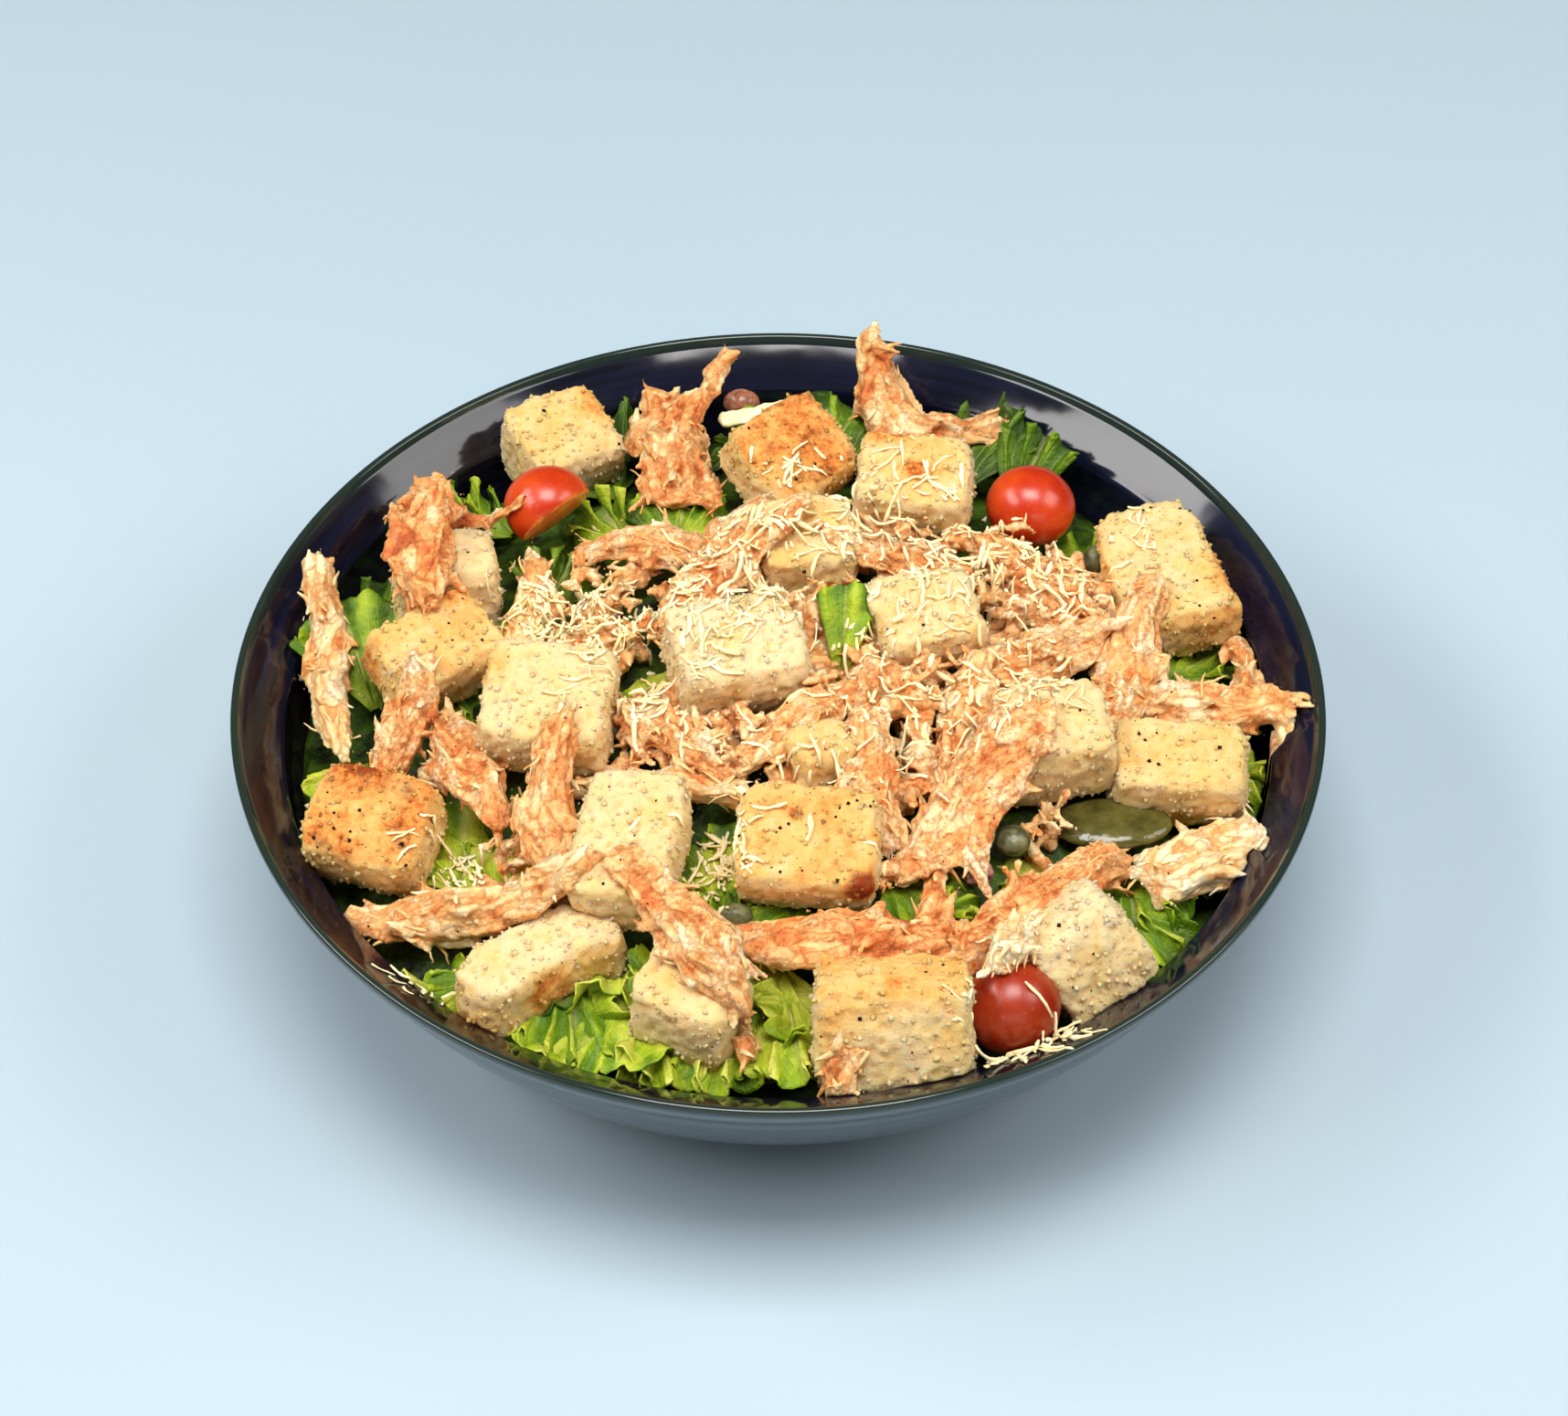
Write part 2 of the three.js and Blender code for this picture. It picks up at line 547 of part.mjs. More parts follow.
// Sets the radii of a strand from the widths at its ends and, where it swells, in the middle.
function shapeStrand(points, width, thick, [near, far], swell, seed) {
  points.forEach((point) => {
    const ends = near + (far - near) * point.share;
    const along = ends + swell * (1 - ends) * Math.sin(Math.PI * point.share);
    const lump = 1 + 0.18 * Math.sin(point.share * 11 + seed * 1.9);
    point.across = (width / 2) * along * lump;
    point.up = (thick / 2) * along * (2 - lump);
  });
}

function placeShred(shred, index) {
  const seed = index * 2.3;
  const trunk = planArc(shred, Math.max(3, Math.round(shred.length / 10)));
  shapeStrand(trunk, shred.width, shred.thick, shred.ends ?? [0.5, 0.5], 1, seed);
  drape(trunk, shred.lift ?? 0, shred.raise ?? [0, 0]);
  let solid = solidOf(tubeGeometry(trunk, 6, seed));
  shred.arms.forEach((arm, k) => {
    const root = trunk[Math.round((arm.from + 0.5) * (trunk.length - 1))];
    const heading = THREE.MathUtils.radToDeg(root.heading) + arm.turn;
    const steps = Math.max(2, Math.round(arm.length / 9));
    const points = planArc({ ...arm, at: [root.x, root.y], turn: heading }, steps, true);
    shapeStrand(points, arm.width, arm.width * 0.85, [1, arm.end ?? 0.3], 0, seed + k);
    drape(points, 0, [0, 0]);
    // it starts inside the trunk and comes down, or rises, to its far end
    points.forEach((point) => {
      point.z = root.z + (point.z - root.z) * Math.min(1, point.share * 1.5) + (arm.raise ?? 0) * point.share;
    });
    solid = solid.add(solidOf(tubeGeometry(points, 4, seed + k)));
  });
  place(shred.name, solid);
}

// ---------------------------------------------------------------- lettuce

// The bare mound: its top is under the leaves and under whatever has sunk in, its underside lies
// on the bowl.
function moundGeometry() {
  const vertices = [];
  const faces = [];
  const meshes = placed.map((piece) => piece.mesh);
  const topAt = (x, y) => {
    const bare = heapHeight(x, y) - LEAF_COVER + 1.6 * bumps(x, y, 0, 14, 1);
    const near = [[0, 0], [5, 0], [-5, 0], [0, 5], [0, -5]].map(([dx, dy]) => hitsAt(x + dx, y + dy, 0, 1, meshes)[0]);
    const undersides = near.filter((hit) => hit).map((hit) => hit.point.z - 1.5);
    // it swells up to a topping that lies right over it, and dips under the edge of one
    if (undersides.length === near.length) return Math.min(...undersides, heapHeight(x, y) - 2);
    return Math.min(...undersides, bare);
  };
  const ringVertices = (radius, heightAt) => {
    for (let k = 0; k < HEAP_SIDES; k++) {
      const angle = (2 * Math.PI * k) / HEAP_SIDES;
      const [x, y] = [radius * Math.cos(angle), radius * Math.sin(angle)];
      vertices.push(x, y, heightAt(x, y));
    }
  };
  const underside = (x, y) => innerHeight(Math.hypot(x, y) + 2) + 1;
  vertices.push(0, 0, topAt(0, 0));
  for (let i = 1; i <= HEAP_RINGS; i++) ringVertices((HEAP_RADIUS * i) / HEAP_RINGS, topAt);
  const lowerRadii = [HEAP_RADIUS, 107, 92, FLOOR_RADIUS];
  lowerRadii.forEach((radius) => ringVertices(radius, underside));
  const rings = HEAP_RINGS + lowerRadii.length;
  vertices.push(0, 0, FLOOR_HEIGHT + 1);
  const last = rings * HEAP_SIDES + 1;
  for (let k = 0; k < HEAP_SIDES; k++) {
    const next = (k + 1) % HEAP_SIDES;
    faces.push(0, 1 + k, 1 + next);
    for (let i = 0; i + 1 < rings; i++) {
      const [a, b] = [1 + i * HEAP_SIDES + k, 1 + i * HEAP_SIDES + next];
      faces.push(a, a + HEAP_SIDES, b, b, a + HEAP_SIDES, b + HEAP_SIDES);
    }
    faces.push(last, last - HEAP_SIDES + next, last - HEAP_SIDES + k);
  }
  const geometry = new THREE.BufferGeometry();
  geometry.setAttribute("position", new THREE.Float32BufferAttribute(vertices, 3));
  geometry.setIndex(faces);
  return geometry;
}

// A thin wavy sheet with a rib, its two faces split into triangles alike.
function leafGeometry({ at, turn, length, width, climb, frill }, seed) {
  const [across, along] = [4, 3];
  const upper = [];
  const lower = [];
  const heading = radians(turn);
  for (let j = 0; j <= along; j++) {
    for (let i = 0; i <= across; i++) {
      const v = j / along;
      const u = (i / across) * 2 - 1;
      const halfWidth = (width / 2) * (0.45 + 0.55 * Math.sin(Math.PI * Math.min(1, 0.2 + v * 0.72)));
      const forward = length * v * (1 - 0.12 * u * u);
      const side = halfWidth * u;
      const edge = Math.max(Math.abs(u), v * v);
      const wave = frill * 0.7 * edge * Math.sin(i * 2.6 + j * 1.9 + seed);
      const x = at[0] + Math.cos(heading) * forward - Math.sin(heading) * side;
      const y = at[1] + Math.sin(heading) * forward + Math.cos(heading) * side;
      const rise = Math.tan(radians(climb)) * forward + wave + 1.4 * u * u;
      const z = heapHeight(x, y) - LEAF_COVER / 2 - LEAF_COVER * (1 - v) ** 3 + rise;
      // never into the bowl: pulled back to the wall at that height
      const radius = Math.hypot(x, y);
      const most = innerRadius(Math.max(z - 1, FLOOR_HEIGHT + 1)) - 1.6;
      const pull = Math.min(1, most / radius);
      upper.push(x * pull, y * pull, z + LEAF_THICKNESS / 2);
      lower.push(x * pull, y * pull, z - LEAF_THICKNESS / 2);
    }
  }
  const row = across + 1;
  const count = upper.length / 3;
  const faces = [];
  for (let j = 0; j < along; j++) {
    for (let i = 0; i < across; i++) {
      const [a, b, c, d] = [j * row + i, j * row + i + 1, (j + 1) * row + i, (j + 1) * row + i + 1];
      faces.push(a, c, b, b, c, d);
      faces.push(a + count, b + count, c + count, b + count, d + count, c + count);
    }
  }
  const wall = (a, b) => faces.push(a, b, a + count, b, b + count, a + count);
  for (let i = 0; i < across; i++) {
    wall(i, i + 1);
    wall(along * row + i + 1, along * row + i);
  }
  for (let j = 0; j < along; j++) {
    wall((j + 1) * row, j * row);
    wall(j * row + across, (j + 1) * row + across);
  }
  const geometry = new THREE.BufferGeometry();
  geometry.setAttribute("position", new THREE.Float32BufferAttribute([...upper, ...lower], 3));
  geometry.setIndex(faces);
  return geometry;
}

function lettuceSolid() {
  const clearOfToppings = (solid) => {
    let clear = solid.subtract(bowlKeepOut);
    for (const piece of placed) {
      if (boxesMeet(clear, piece.keepOut)) clear = clear.subtract(piece.keepOut);
    }
    return clear;
  };
  let heap = largestBody(clearOfToppings(solidOf(moundGeometry())));
  LEAVES.forEach((leaf, index) => {
    const cut = clearOfToppings(solidOf(leafGeometry(leaf, index * 1.9)));
    for (const body of cut.decompose()) {
      if (body.volume() > 20 && body.intersect(heap).volume() > 0.5) heap = heap.add(body);
    }
  });
  return largestBody(heap);
}

// ---------------------------------------------------------------- parmesan

// A curved strip of grated cheese lying along +X.
function cheeseGeometry(length, curl) {
  const geometry = new THREE.BoxGeometry(length, 1.4, 1.1, 2, 1, 1);
  const position = geometry.getAttribute("position");
  for (let i = 0; i < position.count; i++) {
    const share = position.getX(i) / length;
    position.setY(i, position.getY(i) + curl * share * share);
  }
  return geometry;
}

// Strips fall over the middle of the salad, thickest just right of its centre. Each is fused to
// the piece it lands on, if it lies clear of the others.
function grateCheese(pieces) {
  const random = seededRandom(11);
  let strips = 0;
  for (let tries = 0; tries < 900 && strips < CHEESE_STRIPS; tries++) {
    const spread = Math.sqrt(random()) * 78;
    const around = random() * 2 * Math.PI;
    const [x, y] = [14 + spread * Math.cos(around), 4 + spread * 0.72 * Math.sin(around)];
    const [length, curl, turn] = [7 + 6 * random(), 4 * (random() - 0.5), random() * Math.PI];
    const [hit] = hitsAt(x, y, 300, -1, pieces.map((piece) => piece.mesh));
    if (!hit || hit.face.normal.z < 0.5) continue;
    const host = pieces.find((piece) => piece.mesh === hit.object);
    const level = new THREE.Quaternion().setFromUnitVectors(new THREE.Vector3(0, 0, 1), hit.face.normal);
    const geometry = cheeseGeometry(length, curl).rotateZ(turn).applyQuaternion(level);
    geometry.translate(x, y, hit.point.z + 0.25);
    const strip = solidOf(geometry);
    const roomy = grown(strip, GAP);
    const crosses = pieces.some(
      (piece) => piece !== host && boxesMeet(roomy, piece.solid) && roomy.intersect(piece.solid).volume() > 0,
    );
    if (crosses) continue;
    const joined = host.solid.add(strip);
    if (joined.decompose().length > 1) continue;
    host.solid = joined;
    strips += 1;
  }
}

// ---------------------------------------------------------------- assembly

const finish = (color, roughness) => new THREE.MeshStandardMaterial({ color, roughness, metalness: 0 });
const glaze = finish(0x10131c, 0.15);
const bread = finish(0xe9cf8f, 0.9);
const meat = finish(0xd98f58, 0.7);
const leafGreen = finish(0x7fa52c, 0.5);
const tomatoSkin = finish(0xc8371b, 0.2);
const brine = finish(0x5c6140, 0.4);
const beanSkin = finish(0x8a4f30, 0.4);
const onionSkin = finish(0x6a2638, 0.35);
const cheese = finish(0xefe3b4, 0.6);

const bowl = bowlGeometry();
const bowlSolid = solidOf(bowl);
const bowlKeepOut = grown(bowlSolid, GAP);

CROUTONS.forEach(placeCrouton);
TOMATOES.forEach((tomato) => placeRound(tomato, 12, 8));
GARNISHES.forEach((garnish) => placeRound(garnish, 7, 5));
SHREDS.forEach(placeShred);

const lettuce = { name: "lettuce_heap", solid: lettuceSolid() };
lettuce.mesh = new THREE.Mesh(geometryOf(lettuce.solid), new THREE.MeshBasicMaterial());
const food = [lettuce, ...placed];
grateCheese(food);

function materialFor(name) {
  if (name.startsWith("crouton")) return bread;
  if (name.startsWith("chicken")) return meat;
  if (name.startsWith("tomato")) return tomatoSkin;
  if (name.startsWith("lettuce")) return leafGreen;
  if (name.startsWith("parmesan")) return cheese;
  if (name.startsWith("onion")) return onionSkin;
  return name.startsWith("brown") ? beanSkin : brine;
}

const salad = new THREE.Group();
const bowlMesh = new THREE.Mesh(bowl, glaze);
bowlMesh.name = "bowl";
salad.add(bowlMesh);
food.forEach(({ name, solid }) => {
  const mesh = new THREE.Mesh(geometryOf(solid), materialFor(name));
  mesh.name = name;
  salad.add(mesh);
});

export default salad;
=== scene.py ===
# %% [markdown]
# # A chicken caesar salad in its bowl
# The real thing is a wide, dark glazed stoneware bowl, heaped with frilly lettuce, croutons, torn
# chicken, cherry tomatoes and grated parmesan. Almost nothing in it is smooth or straight, so it
# could be sculpted by hand, scanned, or grown from rules. It is grown here: every piece starts
# from the plain solid that already stands in its place, gets a fine skin, and is then roughened
# the way bread, meat or a leaf really is. That keeps every piece where it belongs, and the same
# seeds give the same salad on every run.

# %% Load the plain model
import itertools
import json
import math

import bmesh
import bpy
import numpy as np
from mathutils import Matrix, Vector
from mathutils.bvhtree import BVHTree
from mathutils.kdtree import KDTree

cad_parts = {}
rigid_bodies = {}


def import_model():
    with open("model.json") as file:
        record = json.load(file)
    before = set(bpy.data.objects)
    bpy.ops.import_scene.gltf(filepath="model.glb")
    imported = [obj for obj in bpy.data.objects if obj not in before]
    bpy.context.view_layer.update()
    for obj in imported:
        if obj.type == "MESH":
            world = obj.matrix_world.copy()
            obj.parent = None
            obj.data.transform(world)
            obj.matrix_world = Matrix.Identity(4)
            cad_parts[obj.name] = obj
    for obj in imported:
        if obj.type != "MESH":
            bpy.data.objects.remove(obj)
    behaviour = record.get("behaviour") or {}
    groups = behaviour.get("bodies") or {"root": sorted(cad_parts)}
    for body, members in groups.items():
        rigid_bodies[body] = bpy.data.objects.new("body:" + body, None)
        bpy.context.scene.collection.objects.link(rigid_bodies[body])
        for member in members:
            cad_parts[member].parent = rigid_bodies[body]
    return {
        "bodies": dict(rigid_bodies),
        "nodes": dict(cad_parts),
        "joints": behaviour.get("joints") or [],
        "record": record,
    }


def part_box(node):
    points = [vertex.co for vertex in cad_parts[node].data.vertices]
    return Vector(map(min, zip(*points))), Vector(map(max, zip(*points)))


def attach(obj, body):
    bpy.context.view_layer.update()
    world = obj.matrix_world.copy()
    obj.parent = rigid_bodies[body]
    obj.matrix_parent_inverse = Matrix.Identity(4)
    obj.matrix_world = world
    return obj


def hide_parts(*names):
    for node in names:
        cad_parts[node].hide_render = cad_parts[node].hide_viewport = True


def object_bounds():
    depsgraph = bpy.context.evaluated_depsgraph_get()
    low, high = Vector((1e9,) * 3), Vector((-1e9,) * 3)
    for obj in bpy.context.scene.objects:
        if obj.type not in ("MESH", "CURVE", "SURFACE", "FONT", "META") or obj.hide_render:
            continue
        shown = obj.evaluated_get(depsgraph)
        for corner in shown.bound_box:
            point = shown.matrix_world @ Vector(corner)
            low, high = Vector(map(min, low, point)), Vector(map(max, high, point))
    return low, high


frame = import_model()
nodes = frame["nodes"]
cad_low, cad_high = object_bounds()
mm = 0.001
print(
    f"{len(nodes)} plain solids, {1000 * (cad_high.x - cad_low.x):.0f} mm across,"
    f" {1000 * cad_high.z:.0f} mm high"
)

# %% [markdown]
# ## Colours and shader nodes
# A finish is a tree of nodes that ends in a Principled shader. Trees can be drawn by hand in the
# editor or written node by node, but both hide the sum that is worked out. Here a small class
# wraps the output of a node, so that Python's own operators add the Math nodes and a formula
# reads like one.


# %% Wrap a node's output
class Wire:
    """The output of a node. Python's operators on it add Math nodes."""

    def __init__(self, finish, socket):
        self.finish, self.socket = finish, socket

    def maths(self, operation, *values):
        return self.finish.node("ShaderNodeMath", {"operation": operation}, dict(enumerate(values)))

    def __add__(self, other):
        return self.maths("ADD", self, other)

    def __mul__(self, other):
        return self.maths("MULTIPLY", self, other)

    def __sub__(self, other):
        return self.maths("SUBTRACT", self, other)

    def __rsub__(self, other):
        return self.maths("SUBTRACT", other, self)

    __radd__, __rmul__ = __add__, __mul__

    def between(self, low, high):
        """0 up to low, 1 from high, and even in between."""
        return self.finish.node("ShaderNodeMapRange", {}, {"Value": self, "From Min": low, "From Max": high})


# %% Trees of nodes
class Tree:
    """A node tree, with one method that adds any node to it."""

    def __init__(self, tree):
        self.tree = tree

    def feed(self, node, values):
        for key, value in values.items():
            if isinstance(value, Wire):
                self.tree.links.new(value.socket, node.inputs[key])
            else:
                node.inputs[key].default_value = value

    def node(self, kind, settings=None, values=None, out=0):
        node = self.tree.nodes.new(kind)
        for key, value in (settings or {}).items():
            if key != "stops":
                setattr(node, key, value)
                continue
            for stop, (position, colour) in enumerate(value):
                mark = node.color_ramp.elements[stop] if stop < 2 else node.color_ramp.elements.new(position)
                mark.position, mark.color = position, colour
        self.feed(node, values or {})
        return Wire(self, node.outputs[out])


class Finish(Tree):
    """A material that is one Principled shader."""

    def __init__(self, name, **sockets):
        self.material = bpy.data.materials.new(name)
        self.material.use_nodes = True
        super().__init__(self.material.node_tree)
        self.tree.nodes.clear()
        self.shader = self.tree.nodes.new("ShaderNodeBsdfPrincipled")
        output = self.tree.nodes.new("ShaderNodeOutputMaterial")
        self.tree.links.new(self.shader.outputs[0], output.inputs["Surface"])
        self.place = self.node("ShaderNodeTexCoord", out="Object")
        self.paint(**sockets)

    def paint(self, **sockets):
        self.feed(self.shader, {key.replace("_", " "): value for key, value in sockets.items()})


# %% Short names for the nodes that come up again and again
def tint(red, green, blue):
    """A colour as the eye sees it on a screen, 0 to 255, as the light that Blender counts."""
    light = [((c / 255 + 0.055) / 1.055) ** 2.4 if c > 10 else c / 3294.6 for c in (red, green, blue)]
    return (*light, 1.0)


def mottle(finish, size, detail=2.0, rough=0.5, at=None):
    """A soft random cloud with lumps about `size` metres across, mostly between 0.3 and 0.7."""
    values = {"Vector": at or finish.place, "Scale": 1 / size, "Detail": detail, "Roughness": rough}
    return finish.node("ShaderNodeTexNoise", {}, values)


def mix(share, first, second):
    """first where share is 0, second where it is 1; both are colours."""
    return share.finish.node("ShaderNodeMix", {"data_type": "RGBA"}, {0: share, 6: first, 7: second}, out=2)


def ramp(share, *stops):
    return share.finish.node("ShaderNodeValToRGB", {"stops": stops}, {"Fac": share})


def painted(finish, name, out="Fac"):
    """A value that was worked out for each point of the mesh."""
    return finish.node("ShaderNodeAttribute", {"attribute_name": name}, out=out)


def split(finish, coordinates):
    """The three numbers that make up a place."""
    node = finish.node("ShaderNodeSeparateXYZ", {}, {"Vector": coordinates}).socket.node
    return [Wire(finish, node.outputs[axis]) for axis in range(3)]


def stretched(finish, coordinates, x, y, z):
    """Coordinates pulled out or pushed together along each axis, in turns per metre."""
    return finish.node("ShaderNodeVectorMath", {"operation": "MULTIPLY"}, {0: coordinates, 1: (x, y, z)})


def bumped(height, distance, strength=1.0):
    values = {"Height": height, "Distance": distance, "Strength": strength}
    return height.finish.node("ShaderNodeBump", {}, values)


print("white is", tint(255, 255, 255)[:3])

# %% [markdown]
# ## Roughness in numbers
# Crumb, torn meat and leaves are rough at several sizes at once. Blender's Displace modifier could
# do it from a texture, but then the script couldn't use the same bumps to tell crust from crumb.
# So the noise is worked out with numpy on the points themselves: a random number for each cell of
# a grid, smoothed between the cells, and scattered pits for the holes in bread.


# %% Noise on points
ASKEW = np.array(Matrix.Rotation(0.9, 3, Vector((1, 2, 3))))  # so that no flat side runs along the cells


def cell_value(cell, seed):
    """A number from 0 to 1 for each whole-numbered cell, the same on every run."""
    x, y, z = cell.astype(np.int64).T
    n = (x * 73856093) ^ (y * 19349663) ^ (z * 83492791) ^ (seed * 97531 + 1013)
    n = ((n ^ (n >> 13)) * 1274126177) & 0xFFFFFFFF
    n = ((n ^ (n >> 15)) * 2246822519) & 0xFFFFFFFF
    return ((n ^ (n >> 13)) & 0xFFFFFF) / 0xFFFFFF


def lumps(points, size, seed, layers=1):
    """Smooth noise from -1 to 1. Each further layer is half the size and half as strong."""
    total, strength = 0.0, 1.0
    for layer in range(layers):
        where = points @ ASKEW / (size * 0.5**layer)
        cell = np.floor(where)
        part = where - cell
        part = part * part * (3 - 2 * part)
        value = 0.0
        for corner in itertools.product((0, 1), repeat=3):
            share = np.prod(np.where(corner, part, 1 - part), axis=1)
            value = value + share * cell_value(cell + corner, seed + 17 * layer)
        total = total + strength * (2 * value - 1)
        strength *= 0.5
    return total / (2 - 2 * 0.5**layers)


def pits(points, size, seed):
    """Distance to the nearest of scattered spots, as a share of `size`."""
    where = points @ ASKEW / size
    cell = np.floor(where)
    nearest = np.full(len(points), 9.0)
    for step in itertools.product((-1, 0, 1), repeat=3):
        near = cell + step
        spot = near + np.stack([cell_value(near, seed + axis) for axis in range(3)], axis=1)
        nearest = np.minimum(nearest, np.linalg.norm(where - spot, axis=1))
    return nearest


def rise(value, low, high):
    """0 up to low, 1 from high, with soft ends."""
    share = np.clip((value - low) / (high - low), 0, 1)
    return share * share * (3 - 2 * share)


sample = np.random.default_rng(0).random((2000, 3)) * 0.1
print(f"noise runs from {lumps(sample, 0.004, 1, 3).min():.2f} to {lumps(sample, 0.004, 1, 3).max():.2f}")

# %% [markdown]
# ## Meshes as arrays
# Each piece is handled as an array of points and an array of faces, and becomes a Blender mesh
# only at the end; many small shapes are gathered in a pile first and joined. The one thing that
# numpy can't do well is to skin a tangle of overlapping lumps, so that goes through Blender's
# voxel Remesh, which melts closed shells into one even mesh.


# %% From arrays to a mesh and back
def filled_mesh(name, points, *face_groups):
    """A mesh from points and one or more arrays of faces with as many corners each."""
    mesh = bpy.data.meshes.new(name)
    counts = np.concatenate([np.full(len(faces), faces.shape[1]) for faces in face_groups])
    corners = np.concatenate([faces.ravel() for faces in face_groups]).astype(np.int32)
    mesh.vertices.add(len(points))
    mesh.vertices.foreach_set("co", np.ascontiguousarray(points, np.float32).ravel())
    mesh.loops.add(len(corners))
    mesh.loops.foreach_set("vertex_index", corners)
    mesh.polygons.add(len(counts))
    mesh.polygons.foreach_set("loop_start", (np.cumsum(counts) - counts).astype(np.int32))
    mesh.update(calc_edges=True)
    return mesh


def read_points(mesh):
    flat = np.empty(3 * len(mesh.vertices), np.float32)
    mesh.vertices.foreach_get("co", flat)
    return flat.reshape(-1, 3).astype(float)


def read_triangles(mesh):
    mesh.calc_loop_triangles()
    flat = np.empty(3 * len(mesh.loop_triangles), np.int32)
    mesh.loop_triangles.foreach_get("vertices", flat)
    return flat.reshape(-1, 3)


def solid(name):
    """The points and triangles of a plain solid, with the doubled points at its edges joined."""
    mesh = nodes[name].data
    points, triangles = read_points(mesh), read_triangles(mesh)
    rounded = np.round(points * 1e6).astype(np.int64)
    _, first, index = np.unique(rounded, axis=0, return_index=True, return_inverse=True)
    triangles = index.ravel()[triangles]
    a, b, c = triangles.T
    return points[first], triangles[(a != b) & (b != c) & (c != a)]


def placed(name, data):
    """A new object in the scene, round a mesh, a light or a camera."""
    thing = bpy.data.objects.new(name, data)
    bpy.context.scene.collection.objects.link(thing)
    return thing


# %% Skin, soften and measure
def skinned(points, triangles, voxel):
    """Melts closed shells that overlap into one skin of even squares."""
    scratch = placed("scratch", filled_mesh("scratch", points, triangles))
    melt = scratch.modifiers.new("melt", "REMESH")
    melt.mode, melt.voxel_size = "VOXEL", voxel
    worked = scratch.evaluated_get(bpy.context.evaluated_depsgraph_get())
    mesh = worked.to_mesh()
    skin = read_points(mesh)
    flat = np.empty(len(mesh.loops), np.int32)
    mesh.loops.foreach_get("vertex_index", flat)
    squares = flat.reshape(-1, 4)
    worked.to_mesh_clear()
    old = scratch.data
    bpy.data.objects.remove(scratch)
    bpy.data.meshes.remove(old)
    return skin, squares


def edges_of(faces):
    pairs = np.concatenate([faces[:, [k, (k + 1) % faces.shape[1]]] for k in range(faces.shape[1])])
    return np.unique(np.sort(pairs, axis=1), axis=0)


def softened(values, edges, passes, amount=0.5):
    """Moves each value towards the mean of its neighbours'."""
    values = np.array(values, float)
    flat = values.reshape(len(values), -1)
    here, there = np.concatenate([edges, edges[:, ::-1]]).T
    count = np.maximum(np.bincount(here, minlength=len(flat)), 1)[:, None]
    for _ in range(passes):
        sums = [np.bincount(here, weights=flat[there, k], minlength=len(flat)) for k in range(flat.shape[1])]
        flat = flat + amount * (np.stack(sums, axis=1) / count - flat)
    return flat.reshape(values.shape)


def unit(vectors):
    return vectors / np.maximum(np.linalg.norm(vectors, axis=-1, keepdims=True), 1e-12)


def facing(points, faces):
    """The way each point's surface looks, from the faces round it."""
    corners = [points[faces[:, k]] for k in range(faces.shape[1])]
    across = np.cross(corners[2] - corners[0], corners[-1] - corners[1])
    total = np.zeros_like(points)
    for k in range(faces.shape[1]):
        for axis in range(3):
            total[:, axis] += np.bincount(faces[:, k], weights=across[:, axis], minlength=len(points))
    return unit(total)


def triangles_of(faces):
    return faces if faces.shape[1] == 3 else np.concatenate([faces[:, [0, 1, 2]], faces[:, [0, 2, 3]]])


def closed_rings(rows, sides):
    """Squares between rings of points, and fans that close the ends to the two points after them."""
    k = np.arange(sides)
    after = (k + 1) % sides
    row = np.arange(rows - 1)[:, None] * sides
    squares = np.stack([row + k, row + sides + k, row + sides + after, row + after], axis=-1).reshape(-1, 4)
    first, last = rows * sides, (rows - 1) * sides
    caps = np.concatenate([
        np.stack([np.full(sides, first), k, after], axis=1),
        np.stack([np.full(sides, first + 1), last + after, last + k], axis=1),
    ])
    return squares, caps


# %% Gather shapes and look for the nearest
class Pile:
    """Many small meshes, joined into one."""

    def __init__(self):
        self.shells, self.faces, self.size = [], [], 0

    def add(self, points, faces):
        self.shells.append(points)
        self.faces.append(faces + self.size)
        self.size += len(points)

    def joined(self):
        return np.vstack(self.shells), np.concatenate(self.faces)

    def tree(self):
        points, faces = self.joined()
        return BVHTree.FromPolygons(points.tolist(), faces.tolist())


def nearest_of(points):
    """A tree that finds the nearest of the points."""
    tree = KDTree(len(points))
    for number, spot in enumerate(points):
        tree.insert(spot, number)
    tree.balance()
    return tree


# %% One call that finishes a piece
RIM, WALL_GAP = 0.1348, 0.4 * mm
laid = []  # points and triangles of the fine pieces, for things that fall on them


def piece(name, points, face_groups, finish, slot, stands_for=(), **values):
    """Makes the object, kept inside the bowl and the plain model's box, and hangs it on the bowl."""
    reach = np.linalg.norm(points[:, :2], axis=1, keepdims=True)
    most = RIM if slot == "glaze" else np.minimum(RIM, wall_at(points[:, 2:] / mm) * mm - WALL_GAP)
    points[:, :2] *= np.minimum(1, most / np.maximum(reach, 1e-9))
    points[:, 2] = np.clip(points[:, 2], 0, cad_high.z - 2e-5)
    mesh = filled_mesh(name, points, *face_groups)
    for key, value in values.items():
        vector = value.ndim == 2
        layer = mesh.attributes.new(key, "FLOAT_VECTOR" if vector else "FLOAT", "POINT")
        layer.data.foreach_set("vector" if vector else "value", np.ascontiguousarray(value, np.float32).ravel())
    mesh.shade_smooth()
    mesh.materials.append(finish.material)
    thing = placed(name, mesh)
    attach(thing, "root")
    if stands_for:
        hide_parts(*stands_for)
    laid.append((points, np.concatenate([triangles_of(faces) for faces in face_groups])))
    return thing


print("helpers are ready")

# %% [markdown]
# ## The bowl
# The bowl was thrown on a wheel: a round foot, a floor that turns up into a steep wall, a shallow
# ledge that the potter's finger left below the rim, and above it a band that flares a little more
# than the wall. A lathe with few sides would show corners in a gloss this deep, so a fine profile
# is spun through 224 sides. The flare matters more than its size: it turns the band towards the
# lamps while the wall below it stays dark.

